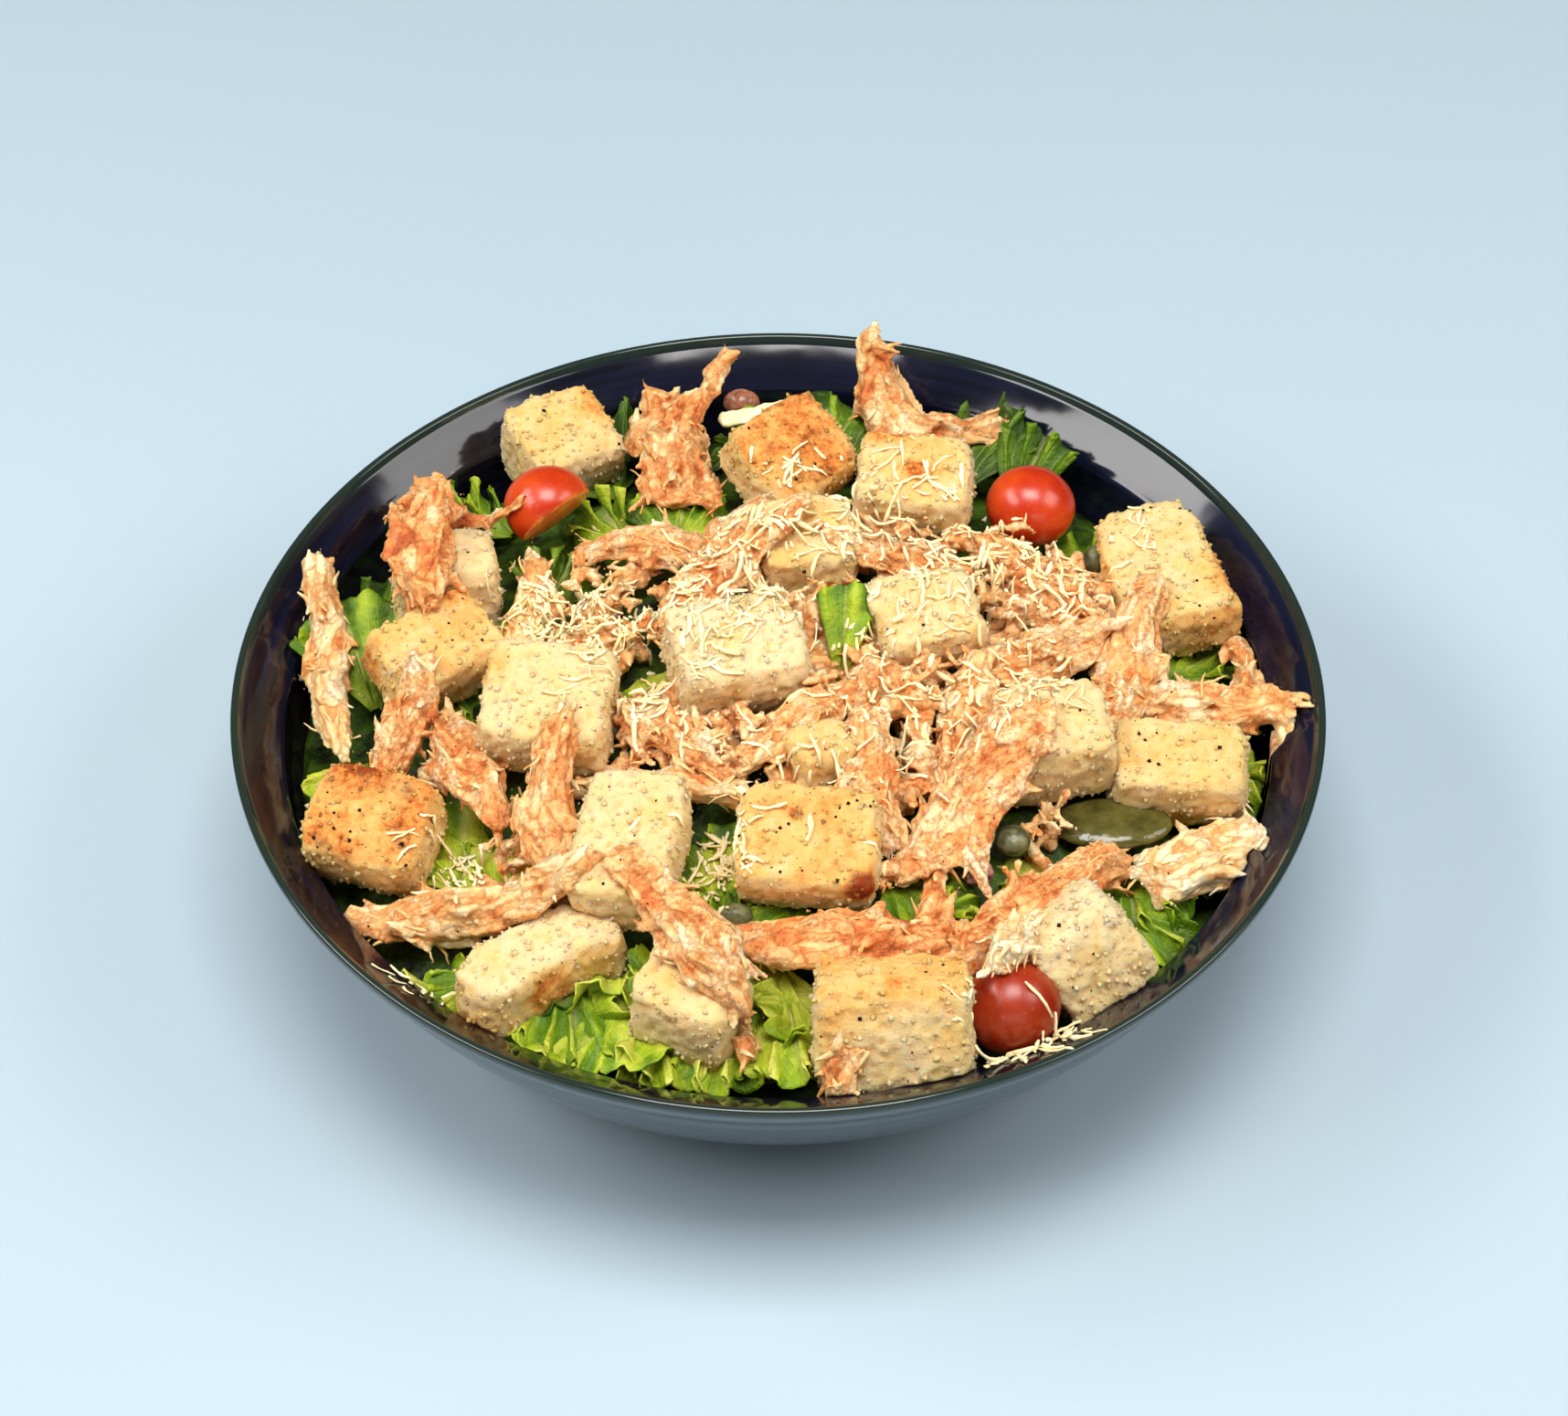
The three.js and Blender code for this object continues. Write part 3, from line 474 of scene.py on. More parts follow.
# %% Profile of the bowl, in millimetres
FLOOR_RADIUS, FLOOR_HEIGHT, FOOT_RADIUS, FOOT_HEIGHT = 60, 9, 52, 4
RIM_RADIUS, BOWL_HEIGHT, LIP, WALL = 135, 72, 2.3, 3.6
ROUNDNESS = 0.36
LEDGE = 61.95
SIDES = 224
FOOT = [(53.4, 4.1), (52.4, 3.4), (52, 2.4), (51.6, 0.6), (51, 0)]
FOOT += [(46.2, 0), (45.6, 0.5), (45, 2), (22, 2), (0, 2)]


def outer_radius(z):
    share = np.clip((z - FOOT_HEIGHT) / (BOWL_HEIGHT - FOOT_HEIGHT), 0, 1)
    return FOOT_RADIUS + (RIM_RADIUS - FOOT_RADIUS) * share**ROUNDNESS


def inner_radius(z):
    share = np.clip((z - FLOOR_HEIGHT) / (BOWL_HEIGHT - FLOOR_HEIGHT), 0, 1)
    return FLOOR_RADIUS + (RIM_RADIUS - WALL - FLOOR_RADIUS) * share**ROUNDNESS


def inner_height(radius):
    share = np.maximum(0, radius - FLOOR_RADIUS) / (RIM_RADIUS - WALL - FLOOR_RADIUS)
    return FLOOR_HEIGHT + (BOWL_HEIGHT - FLOOR_HEIGHT) * share ** (1 / ROUNDNESS)


def bowl_profile():
    """The outline from the middle of the floor over the lip to the foot, and where it is inside."""
    inside = [(radius, FLOOR_HEIGHT) for radius in (0, 20, 40)]
    # the wall, with the rings that the potter's fingers left
    for radius in np.linspace(52, inner_radius(50), 28):
        height = float(inner_height(radius))
        ripple = 0.12 * math.sin(height * 1.15) + 0.25 * math.exp(-(((height - 44) / 0.8) ** 2))
        inside.append((radius - ripple * min(1, max(0, height - 20) / 20), height))
    # the steep top of the wall, the ledge and the band that flares above it
    inside += [(121.5, 52), (121.8, 54), (122.05, 56), (122.25, 58), (122.4, 60), (122.45, 61), (122.55, LEDGE)]
    inside += [(122.8, LEDGE + 0.45), (123.4, LEDGE + 0.9)]
    for share in np.linspace(0.08, 0.97, 14):
        inside.append((123.2 + 9.5 * share, LEDGE + 0.75 + 7.95 * share + 0.2 * math.sin(math.pi * share)))
    radius = LIP / 2
    lip = [
        (RIM_RADIUS - radius + radius * math.cos(angle), BOWL_HEIGHT - radius + radius * math.sin(angle))
        for angle in np.linspace(0.8 * math.pi, 0, 11)
    ]
    outside = []
    for height in np.linspace(BOWL_HEIGHT - radius - 0.6, FOOT_HEIGHT + 0.4, 30):
        near_lip = max(0.0, (height - 62) / 8.2) ** 2
        wall = float(outer_radius(height))
        outside.append((wall + (RIM_RADIUS - wall) * min(1, near_lip) + 0.08 * math.sin(height * 0.9), height))
    outline = np.array(inside + lip + outside + FOOT)
    count = len(inside) + len(lip) // 2
    return outline, np.repeat((1.0, 0.0), (count, len(outline) - count))


def spun(profile, sides):
    """Turns a profile that starts and ends on the axis into points, squares and the two caps."""
    angles = np.linspace(0, 2 * math.pi, sides, endpoint=False)
    ring = profile[1:-1]
    x = ring[:, :1] * np.cos(angles)
    y = ring[:, :1] * np.sin(angles)
    z = np.repeat(ring[:, 1:], sides, axis=1)
    points = np.stack([x, y, z], axis=-1).reshape(-1, 3)
    points = np.vstack([points, [0, 0, profile[0, 1]], [0, 0, profile[-1, 1]]])
    return points * mm, *closed_rings(len(ring), sides)


def wall_at(height):
    """How far out the inside of the wall is at each height, and beyond the rim above it."""
    inside = bowl_profile()[0]
    inside = inside[2 : np.argmax(inside[:, 1])]
    return np.interp(height, inside[:, 1], inside[:, 0], right=RIM_RADIUS + 5)


profile, within = bowl_profile()
bowl_points, bowl_squares, bowl_caps = spun(profile, SIDES)
print(f"bowl: {len(bowl_points)} points, {1000 * bowl_points[:, 2].max():.1f} mm high")

# %% [markdown]
# The glaze is nearly black and very glossy. Where it pooled it is a deep blue, and outside it is a
# slate blue-green. On the left and front of the inside it turns a warm brown along the throwing
# rings, partly where the glaze broke thin over them and partly as a painted reflection of the food
# in the gloss. A plain dark gloss would lose all of that. So each point of the mesh says whether it
# is inside, and the colour follows that, the height and the side of the bowl, with long streaks
# round it. The foot ring, which the glaze never covers, is bare grey stoneware.

# %% Glaze
glaze = Finish("glaze")
side_x, side_y, height = split(glaze, glaze.place)
streaks = mottle(glaze, 0.05, 3, 0.6, at=stretched(glaze, glaze.place, 1, 1, 24))
rings = mottle(glaze, 0.02, 2, 0.5, at=stretched(glaze, glaze.place, 0.2, 0.2, 12))
# painted reflection: on the left and front of the inside the wall turns warm brown along the rings, partly
# glaze broken thin and partly the food mirrored in the gloss
warm_side = (side_x * -1.0 - side_y * 0.55).between(-0.02, 0.11)
pooled = mix(streaks.between(0.35, 0.7), tint(10, 11, 22), tint(20, 24, 48))
broken = mix(streaks.between(0.42, 0.62), tint(16, 12, 13), tint(44, 29, 24))
inside_colour = mix(warm_side * rings.between(0.35, 0.6), pooled, broken)
outside_colour = mix(streaks.between(0.35, 0.7), tint(38, 54, 62), tint(58, 76, 82))
lip_edge = height.between(0.0696, 0.0708)
wall_colour = mix(painted(glaze, "within"), outside_colour, inside_colour)
foot_ring = height.between(0.0009, 0.0003)
glaze.paint(
    Base_Color=mix(foot_ring, mix(lip_edge, wall_colour, tint(34, 46, 40)), tint(120, 112, 102)),
    Roughness=foot_ring * 0.6 + 0.07 + mottle(glaze, 0.012, 2) * 0.05,
    Normal=bumped(mottle(glaze, 0.018, 2, 0.4), 0.0006, 0.35),
)
inner_share = np.concatenate([np.repeat(within[1:-1], SIDES), [1, 0]])
bowl = piece(
    "glazed_bowl", bowl_points, [bowl_squares, bowl_caps], glaze, "glaze", ["bowl"], within=inner_share
)
print("glazed bowl:", len(bowl.data.polygons), "faces")

# %% [markdown]
# ## Croutons
# A crouton is a cube of white bread, fried until its top and edges are golden. Its crumb is a
# foam: torn walls round holes of all sizes, so its outline is never straight. A cube with a bump
# map keeps a knife-sharp outline, so the plain block is skinned with a fine mesh, its corners are
# worn, pits are pushed into it and loose crumbs are stuck on. How brown each point is gets worked
# out from the way it faces and how far it sticks out, because only what touched the pan is toasted.

# %% What toast and crumb look like
bread = Finish("toasted_bread", Specular_IOR_Level=0.25)
bread.paint(Subsurface_Weight=0.55, Subsurface_Scale=0.004, Subsurface_Radius=(1.0, 0.6, 0.3))
toasted = painted(bread, "toast")
blotches = mottle(bread, 0.008, 3, 0.6) - 0.5 + (mottle(bread, 0.003, 4, 0.7) - 0.5) * 1.3
browned = toasted + (blotches + (mottle(bread, 0.0012, 3, 0.7) - 0.5) * 0.8) * (toasted * 0.8 + 0.14)
hollow = painted(bread, "relief")
crumb = ramp(
    browned,
    (0.0, tint(255, 226, 178)),
    (1.0, tint(124, 50, 14)),
    (0.22, tint(254, 216, 153)),
    (0.42, tint(251, 198, 119)),
    (0.6, tint(244, 170, 87)),
    (0.8, tint(208, 110, 42)),
)
oiled = mix(mottle(bread, 0.008, 3, 0.6).between(0.5, 0.68) * 0.5, crumb, tint(248, 216, 134))
crumb_grain = mottle(bread, 0.0009, 4, 0.8)
# painted shade: the low spots of the crumb's grain, its pores, are tinted a darker tan
pores = crumb_grain.between(0.5, 0.34) * (0.26 - browned.between(0.3, 0.8) * 0.2)
pored = mix(pores, oiled, tint(246, 190, 108))
# painted shade: where the mesh is pitted (relief below 0) the crumb is tinted a darker gold, as warm shade in
# the holes
shaded = mix((hollow * -1).between(0.1, 1.4) * 0.6, pored, tint(248, 180, 84))
burnt = mix(browned.between(0.85, 1.2) * 0.9, shaded, tint(160, 60, 10))
speckled = mix(painted(bread, "speck"), burnt, tint(30, 18, 12))
bread.paint(
    Base_Color=speckled,
    Normal=bumped(crumb_grain, 0.0011, 0.8),
    Roughness=0.9 - browned.between(0.3, 0.9) * 0.25,
)

# %% Crumbs and flakes of pepper
def bits_on(points, out, spots, low, high, flat, random):
    """Little eight-sided bits that stick to the surface at the chosen points."""
    base = np.array([(1, 0, 0), (-1, 0, 0), (0, 1, 0), (0, -1, 0), (0, 0, 1), (0, 0, -1)], float)
    faces = np.array([(0, 2, 4), (2, 1, 4), (1, 3, 4), (3, 0, 4), (2, 0, 5), (1, 2, 5), (3, 1, 5), (0, 3, 5)])
    count = len(spots)
    radius = low + (high - low) * random.random(count) ** 2
    side = unit(np.cross(out[spots], random.normal(size=(count, 3))))
    frame = np.stack([side, np.cross(out[spots], side), out[spots]], axis=1)
    shape = base * random.uniform(0.6, 1.3, (count, 6, 1)) * (1, 1, flat) * radius[:, None, None]
    bits = shape @ frame + (points[spots] + out[spots] * radius[:, None] * 0.3)[:, None]
    return bits.reshape(-1, 3), (faces + 6 * np.arange(count)[:, None, None]).reshape(-1, 3)


def specks_on(points, out, count, random, low=0.16 * mm, high=0.75 * mm, steepest=0.3):
    """Flakes of pepper that lie on whatever looks up."""
    spots = np.flatnonzero(out[:, 2] > steepest)
    return bits_on(points, out, random.choice(spots, count if len(spots) else 0), low, high, 0.5, random)


# %% One crouton
CRUMB_VOXEL = 1.0 * mm
PIT_SIZE, PIT_DEPTH = 4.2 * mm, 0.35 * mm


def squared(points, triangles, sharpness=0.64):
    """Pushes a worn block's edges out towards those of the cube that it was cut as."""
    a, b, c = (points[triangles[:, k]] for k in range(3))
    across = np.cross(b - a, c - a)
    area = np.linalg.norm(across, axis=1)
    ways = across / np.maximum(area, 1e-15)[:, None]
    alike = np.abs(ways @ ways.T) > 0.985
    shared = alike @ area
    first = ways[np.argmax(shared)]
    second = ways[np.argmax(shared * (np.abs(ways @ first) < 0.35))]
    third = unit(np.cross(first, second))
    turn = np.stack([first, np.cross(third, first), third])
    local = points @ turn.T
    low, high = local.min(axis=0), local.max(axis=0)
    share = (local - (low + high) / 2) / ((high - low) / 2)
    share = np.sign(share) * np.abs(share) ** sharpness
    return (share * (high - low) / 2 + (low + high) / 2) @ turn


def crumbly(name, seed, top, side, pepper, *burns):
    """A crouton, as brown as `top` and `side` say. A burn is a place, a reach in millimetres and a strength."""
    plain, triangles = solid("crouton_" + name)
    points, squares = skinned(squared(plain, triangles), triangles, CRUMB_VOXEL)
    edges = edges_of(squares)
    points = softened(points, edges, 3)
    out = facing(points, squares)
    points = points + out * 0.25 * mm + out * (lumps(points, 10 * mm, seed, 2) * 0.95 * mm)[:, None]
    out = unit(softened(facing(points, squares), edges, 3))
    corner = 1 - rise(-np.sum((softened(points, edges, 14) - points) * out, axis=1), -0.9 * mm, -0.3 * mm)
    toast = side + 0.1 + (top - side - 0.1) * rise(out[:, 2], 0.3, 0.75)
    toast = toast + 0.26 * lumps(points, 7 * mm, seed + 5, 2) * (0.4 + toast) + 0.34 * corner * (0.35 + toast)
    low, high = points.min(axis=0), points.max(axis=0)
    for share, size, strength in burns:
        spot = low + np.array(share) * (high - low)
        toast = toast + strength * (1 - rise(np.linalg.norm(points - spot, axis=1), size * 0.4 * mm, size * mm))
    toast = np.clip(toast, 0, 1.05)
    soft = 1 - 0.6 * rise(toast, 0.4, 0.85)
    holes = -PIT_DEPTH * (1 - rise(pits(points, PIT_SIZE, seed + 9), 0.08, 0.35)) * soft
    crumbs = 0.35 * mm * lumps(points, 3 * mm, seed + 3) + 0.65 * mm * lumps(points, 1.5 * mm, seed + 6)
    points = points + out * (holes + crumbs * (0.35 + 0.65 * soft))[:, None]
    out = facing(points, squares)
    # the relief: how far each point stands out from its neighbours; the finish paints the sunken ones a darker
    # gold as shade
    relief = np.sum((points - softened(points, edges, 4)) * out, axis=1) / (0.25 * mm)
    random = np.random.default_rng(seed)
    likely = (0.25 + soft) * (1 + corner)
    spots = random.choice(len(points), len(points) // 9, p=likely / likely.sum())
    grains, grain_faces = bits_on(points, out, spots, 0.3 * mm, 0.95 * mm, 0.9, random)
    flakes, flake_faces = specks_on(points, out, pepper, random)
    groups = [squares, grain_faces + len(points), flake_faces + len(points) + len(grains)]
    none = np.zeros(len(flakes))
    own_toast = np.repeat(toast[spots] + random.uniform(-0.12, 0.16, len(spots)), 6)
    # loose grains get a random relief, so some of them take the painted pit shade too
    own_relief = np.repeat(random.uniform(-0.5, 1.0, len(spots)), 6)
    values = dict(
        toast=np.concatenate([toast, own_toast, none]),
        relief=np.concatenate([relief, own_relief, none]),
        speck=np.concatenate([np.zeros(len(points) + len(grains)), none + 1]),
    )
    points = np.vstack([points, grains, flakes])
    return piece("toast_" + name, points, groups, bread, "toasted_bread", ["crouton_" + name], **values)


# %% All twenty croutons
# top, side, flakes of pepper, burns
CROUTONS = {
    "back_left": (0.3, 0.04, 5, ((0.8, 0.7, 0.9), 9, 0.35)),
    "back_toasted": (0.68, 0.2, 12),
    "back_right": (0.3, 0.06, 6, ((0.3, 0.9, 0.9), 10, 0.35), ((0.5, 0.4, 0.9), 5, 0.4)),
    "corner_wedge": (0.26, 0.34, 34, ((0.95, 0.4, 0.6), 16, 0.35)),
    "right": (0.32, 0.1, 34, ((0.5, 0.1, 0.1), 9, 0.3)),
    "left_toasted": (0.42, 0.26, 10, ((0.45, 0.95, 0.8), 13, 0.4), ((0.05, 0.4, 0.5), 9, 0.3)),
    "left_rear": (0.1, 0.05, 6),
    "left_middle": (0.14, 0.1, 12, ((0.1, 0.7, 0.8), 8, 0.3)),
    "left_spiced": (0.62, 0.3, 34, ((0.5, 0.9, 0.9), 13, 0.35)),
    "centre": (0.0, 0.02, 3),
    "centre_right": (0.14, 0.06, 8),
    "front_long": (0.12, 0.08, 8),
    "front_peppered": (0.42, 0.16, 50, ((0.86, 0.02, 0.5), 6.5, 0.95), ((0.42, 0.55, 0.95), 2.6, 0.5)),
    "front_crescent": (0.1, 0.22, 9, ((0.55, 0.3, 0.5), 9, 0.45), ((0.1, 0.1, 0.1), 9, 0.4)),
    "front_small": (0.22, 0.1, 6, ((0.6, 0.1, 0.0), 8, 0.4)),
    "front_big": (0.52, 0.08, 14, ((0.1, 0.1, 0.8), 9, 0.3)),
    "front_right": (0.06, 0.05, 8),
    "right_inner": (0.12, 0.1, 14),
    "back_centre": (0.3, 0.15, 4),
    "middle_small": (0.3, 0.2, 2),
}
for number, (name, look) in enumerate(CROUTONS.items()):
    made = crumbly(name, 40 + 7 * number, *look)
print(f"{len(CROUTONS)} croutons, the last with {len(made.data.polygons)} faces")

# %% [markdown]
# ## Torn chicken
# The chicken was simmered, rubbed with spice and pulled apart, so every scrap is a bundle of
# fibres with a granular coat, frayed at its ends. Noise alone gives a lump of clay. So the piece
# is built as meat is: strands are traced over the plain solid, each following the way the scrap
# runs, and the solid and its strands are melted into one skin. The way it runs comes from the
# spread of the surface round each point, which is longest along the fibres. Each point keeps how
# far along and across its own strand it lies, so that the fine fibres of the finish follow it.


# %% Which way the meat runs
def surface_samples(points, triangles, count, random):
    a, b, c = (points[triangles[:, k]] for k in range(3))
    area = np.linalg.norm(np.cross(b - a, c - a), axis=1)
    chosen = random.choice(len(triangles), count, p=area / area.sum())
    u, v = random.random((2, count, 1))
    flip = u + v > 1
    u, v = np.where(flip, 1 - u, u), np.where(flip, 1 - v, v)
    return a[chosen] + u * (b - a)[chosen] + v * (c - a)[chosen]


def runs_along(samples, reach):
    """The direction in which the samples near each one are spread the most."""
    away = samples[None] - samples[:, None]
    weight = np.exp(-np.sum(away**2, axis=2) / (2 * reach**2))
    middle = np.einsum("ij,ijk->ik", weight, away) / weight.sum(axis=1)[:, None]
    away = away - middle[:, None]
    spread = np.einsum("ij,ija,ijb->iab", weight, away, away)
    return np.linalg.eigh(spread)[1][:, :, -1]


# %% Strands
def tube(path, normals, widths, heights, sides=6):
    """A closed tube round a path, flattened towards the surface that it lies on."""
    along = unit(np.gradient(path, axis=0))
    across = unit(np.cross(normals, along))
    up = np.cross(along, across)
    angles = (np.arange(sides) + 0.5) * 2 * math.pi / sides
    ring = across[:, None] * (np.cos(angles)[:, None] * widths[:, None, None])
    ring = path[:, None] + ring + up[:, None] * (np.sin(angles)[:, None] * heights[:, None, None])
    tips = [path[0] - along[0] * widths[0] * 0.6, path[-1] + along[-1] * widths[-1] * 0.6]
    points = np.vstack([ring.reshape(-1, 3), tips])
    k = np.arange(sides)
    after = (k + 1) % sides
    rows = np.arange(len(path) - 1)[:, None] * sides
    a, b, c, d = rows + k, rows + after, rows + sides + k, rows + sides + after
    body = np.concatenate([np.stack([a, b, c], -1).reshape(-1, 3), np.stack([b, d, c], -1).reshape(-1, 3)])
    near, far, end = len(points) - 2, len(points) - 1, (len(path) - 1) * sides
    caps = [
        np.stack([np.full(sides, near), after, k], axis=1),
        np.stack([np.full(sides, far), end + k, end + after], axis=1),
    ]
    return points, np.concatenate([body, *caps])


STRAND_STEP = 1.6 * mm


def trace(start, heading, steps, field, depth, fray, random):
    """Follows the meat over the solid from a point, and carries straight on for `fray` steps at its end."""
    tree, ways, ground = field
    path, normals = [], []
    here, way = Vector(start), Vector(heading)
    for _ in range(steps):
        spot, normal, _, _ = ground.find_nearest(here)
        moved = spot - normal * depth
        if path and (moved - path[-1]).length < 0.45 * STRAND_STEP:
            break
        path.append(moved)
        normals.append(normal.copy())
        local = Vector(ways[tree.find(moved)[1]])
        if local.dot(way) < 0:
            local.negate()
        way = (way * 0.62 + local * 0.38 + Vector(random.normal(0, 0.1, 3))).normalized()
        here = moved + way * STRAND_STEP
    lift = normals[-1] * random.uniform(-0.15, 0.5)
    for _ in range(fray):
        way = (way + lift * 0.35 + Vector(random.normal(0, 0.12, 3))).normalized()
        path.append(path[-1] + way * STRAND_STEP)
        normals.append(normals[-1])
    return path, normals


# %% Melt the strands and raise their grain
RIDGE_HEIGHT, GRIT_HEIGHT = 0.34 * mm, 0.5 * mm


def marks_on(path, up, runs, strand):
    """Where a strand passes and which way it runs, for the points of the skin that end up near it."""
    along = unit(np.gradient(path, axis=0))
    across = unit(np.cross(up, along))
    above = np.cross(along, across)
    return [(path[k], along[k], across[k], above[k], runs[k], strand) for k in range(len(path))]


def melted(bundle, marks, tones, seed, granular, voxel):
    """One skin over strands that overlap, with fibres and grit on it, and the fields that colour it."""
    points, squares = skinned(*bundle.joined(), voxel)
    edges = edges_of(squares)
    points = softened(points, edges, 1, 0.3)
    out = facing(points, squares)
    near = nearest_of([mark[0] for mark in marks])
    index = np.array([near.find(spot)[1] for spot in points])
    centre, along, across, up = (np.array([mark[k] for mark in marks])[index] for k in range(4))
    run, strand = (np.array([mark[k] for mark in marks])[index] for k in (4, 5))
    offset = points - centre
    fibre = np.stack([
        run + np.sum(offset * along, axis=1) + strand * 0.037,
        np.sum(offset * across, axis=1) + strand * 0.0053,
        np.sum(offset * up, axis=1),
    ], axis=1)
    ridge = lumps(fibre / (6, 1.5, 1.5), 1 * mm, seed, 2)
    grit = lumps(points, 1.7 * mm, seed + 4, 2)
    coat = rise(lumps(points, 6 * mm, seed + 8, 2) + 2 * granular - 0.7, -0.15, 0.3)
    push = RIDGE_HEIGHT * ridge * (1 - 0.4 * coat) + GRIT_HEIGHT * grit * (0.4 + 0.8 * coat)
    push = push + 0.7 * mm * lumps(points, 6 * mm, seed + 6, 2)
    points = points + out * push[:, None]
    # the relief: how far each point stands out from its neighbours; the finish paints the grooves darker with
    # it, partly as shade
    relief = np.sum((points - softened(points, edges, 6)) * facing(points, squares), axis=1) / (0.4 * mm)
    tone = softened(np.array(tones)[index], edges, 1) + 0.2 * lumps(points, 5 * mm, seed + 2)
    return points, squares, along, dict(relief=relief, tone=tone, coat=coat, fibre=fibre)


# %% Loose fibres
def frayed(points, out, along, count, random):
    """Flat fibres that stand off the meat: their points, triangles, and how far along each a point is."""
    loose, runs, owners = Pile(), [], []
    for number, spot in enumerate(random.choice(len(points), count)):
        normal = out[spot]
        way = along[spot] * random.choice((-1, 1)) + random.normal(0, 0.4, 3)
        way = unit(way + normal * (random.uniform(0.05, 0.6) - min(0, way @ normal)))
        step = random.uniform(0.6, 1.35) * mm
        path = [points[spot] - way * step * 0.7]
        for _ in range(random.integers(3, 6)):
            way = unit(way + random.normal(0, 0.2, 3) - (0, 0, 0.05))
            path.append(path[-1] + way * step)
        path = np.array(path)
        share = np.linspace(0, 1, len(path))
        broad = random.uniform(0.35, 0.85) * mm * (1 - 0.7 * share**1.5)
        widths = broad * random.uniform(0.85, 1.15, len(path))
        loose.add(*tube(path, np.tile(normal, (len(path), 1)), widths * 1.35, widths * 0.7, sides=4))
        runs.append(np.concatenate([np.repeat(share, 4), [0, 1]]))
        owners.append(np.full(len(runs[-1]), number))
    return *loose.joined(), np.concatenate(runs), np.concatenate(owners)


# %% Put meat, loose fibres and pepper together
def scrap_of_meat(name, skin, random, frays, pale, pepper, stands_for):
    points, squares, along, values = skin
    out = facing(points, squares)
    loose, loose_faces, run, owner = frayed(points, out, along, frays, random)
    flakes, shells = specks_on(points, out, pepper, random, 0.14 * mm, 0.4 * mm, 0.1)
    own_tone = random.uniform(0.2, 0.8, frays)[owner]
    groups = [squares, np.vstack([loose_faces + len(points), shells + len(points) + len(loose)])]
    none, rest = np.zeros(len(loose)), np.zeros(len(flakes))
    own_fibre = np.stack([run * 4 * mm + owner * 0.011, owner * 0.0031, none], axis=1)
    values = dict(
        relief=np.concatenate([values["relief"], none + 0.5, rest]),
        tone=np.concatenate([values["tone"], own_tone, rest]) + 0.9 * pale,
        coat=np.concatenate([values["coat"], none, rest]),
        fibre=np.vstack([values["fibre"], own_fibre, np.zeros((len(flakes), 3))]),
        speck=np.concatenate([np.zeros(len(points)), none, rest + 1]),
    )
    return piece(name, np.vstack([points, loose, flakes]), groups, meat, "chicken", stands_for, **values)


# %% One scrap of chicken
MEAT_VOXEL = 0.84 * mm
LOOSE_FIBRES = 30


def smoothed(path):
    return np.concatenate([path[:1], (path[:-2] + 2 * path[1:-1] + path[2:]) / 4, path[-1:]])


def torn(name, seed, strands, granular, pale, thick, pepper):
    """A scrap of chicken: the plain solid, a little shrunk, and strands all over it, melted together."""
    random = np.random.default_rng(seed)
    base, triangles = solid("chicken_" + name)
    samples = surface_samples(base, triangles, 600, random)
    ways = runs_along(samples, 7 * mm)
    field = (nearest_of(samples), ways, BVHTree.FromPolygons(base.tolist(), triangles.tolist()))
    bundle, marks, tones = Pile(), [], []
    bundle.add(base - facing(base, triangles) * 0.8 * mm, triangles)
    for strand in range(round(strands * 1.5)):
        start = random.integers(len(samples))
        stray = random.random() < 0.5
        heading = ways[start] * random.choice((-1, 1)) + random.normal(0, 0.9 if stray else 0.2, 3)
        broad = random.uniform(0.6, 1.9 if stray else 1.5) * thick * mm
        depth = random.uniform(-0.7, 0.6) * broad
        length = random.uniform(6, 12 if stray else 22) * mm
        frays_here = [random.integers(1, 5) if stray or random.random() < 0.3 else 0 for _ in range(2)]
        steps = int(length / STRAND_STEP / 2)
        there, there_up = trace(samples[start], heading, steps, field, depth, frays_here[0], random)
        back, back_up = trace(samples[start], -heading, steps, field, depth, frays_here[1], random)
        path = np.array([tuple(p) for p in back[:0:-1] + there])
        up = np.array([tuple(p) for p in back_up[:0:-1] + there_up])
        if len(path) < 4:
            continue
        path = smoothed(path)
        swell = np.clip(np.sin(np.pi * np.linspace(0, 1, len(path))), 0, 1) ** 0.5 * 0.75 + 0.25
        swell = swell * random.uniform(0.75, 1.25, len(path))
        heights = np.maximum(broad * swell * (0.55 if stray else 0.7), 0.42 * mm)
        bundle.add(*tube(path, up, np.maximum(broad * swell, 0.48 * mm), heights))
        runs = np.concatenate([[0], np.cumsum(np.linalg.norm(np.diff(path, axis=0), axis=1))])
        marks += marks_on(path, up, runs, strand)
        tones += [1.5 if random.random() < 0.1 else random.random()] * len(path)
    skin = melted(bundle, marks, tones, seed, granular, MEAT_VOXEL)
    return scrap_of_meat("torn_" + name, skin, random, LOOSE_FIBRES, pale, pepper, ["chicken_" + name])


# %% [markdown]
# The finish of the chicken is light orange where the sauce is thin, a redder brown under the coat
# of spice, and cream where white fibres show. In the folds it turns a darker, redder brown, partly
# the meat's own deeper colour and partly painted shade. Two fields that were worked out with the
# mesh steer it, the relief and the tone of each strand, and a noise stretched along the strands
# adds the fine fibres. A little light passes under the skin of meat, so it gets some subsurface
# scattering and only a soft gloss.

# %% Meat finish
meat = Finish("torn_chicken", Specular_IOR_Level=0.4)
meat.paint(Subsurface_Weight=0.3, Subsurface_Scale=0.003, Subsurface_Radius=(1.0, 0.45, 0.2))
fibres = mottle(meat, 1.0, 3, 0.6, at=stretched(meat, painted(meat, "fibre", "Vector"), 170, 1300, 1300))
blush = mottle(meat, 0.007, 3, 0.6)
fleck = mottle(meat, 0.0024, 3, 0.65)
grit = mottle(meat, 0.0011, 3, 0.65)
relief = painted(meat, "relief")
coat = painted(meat, "coat")
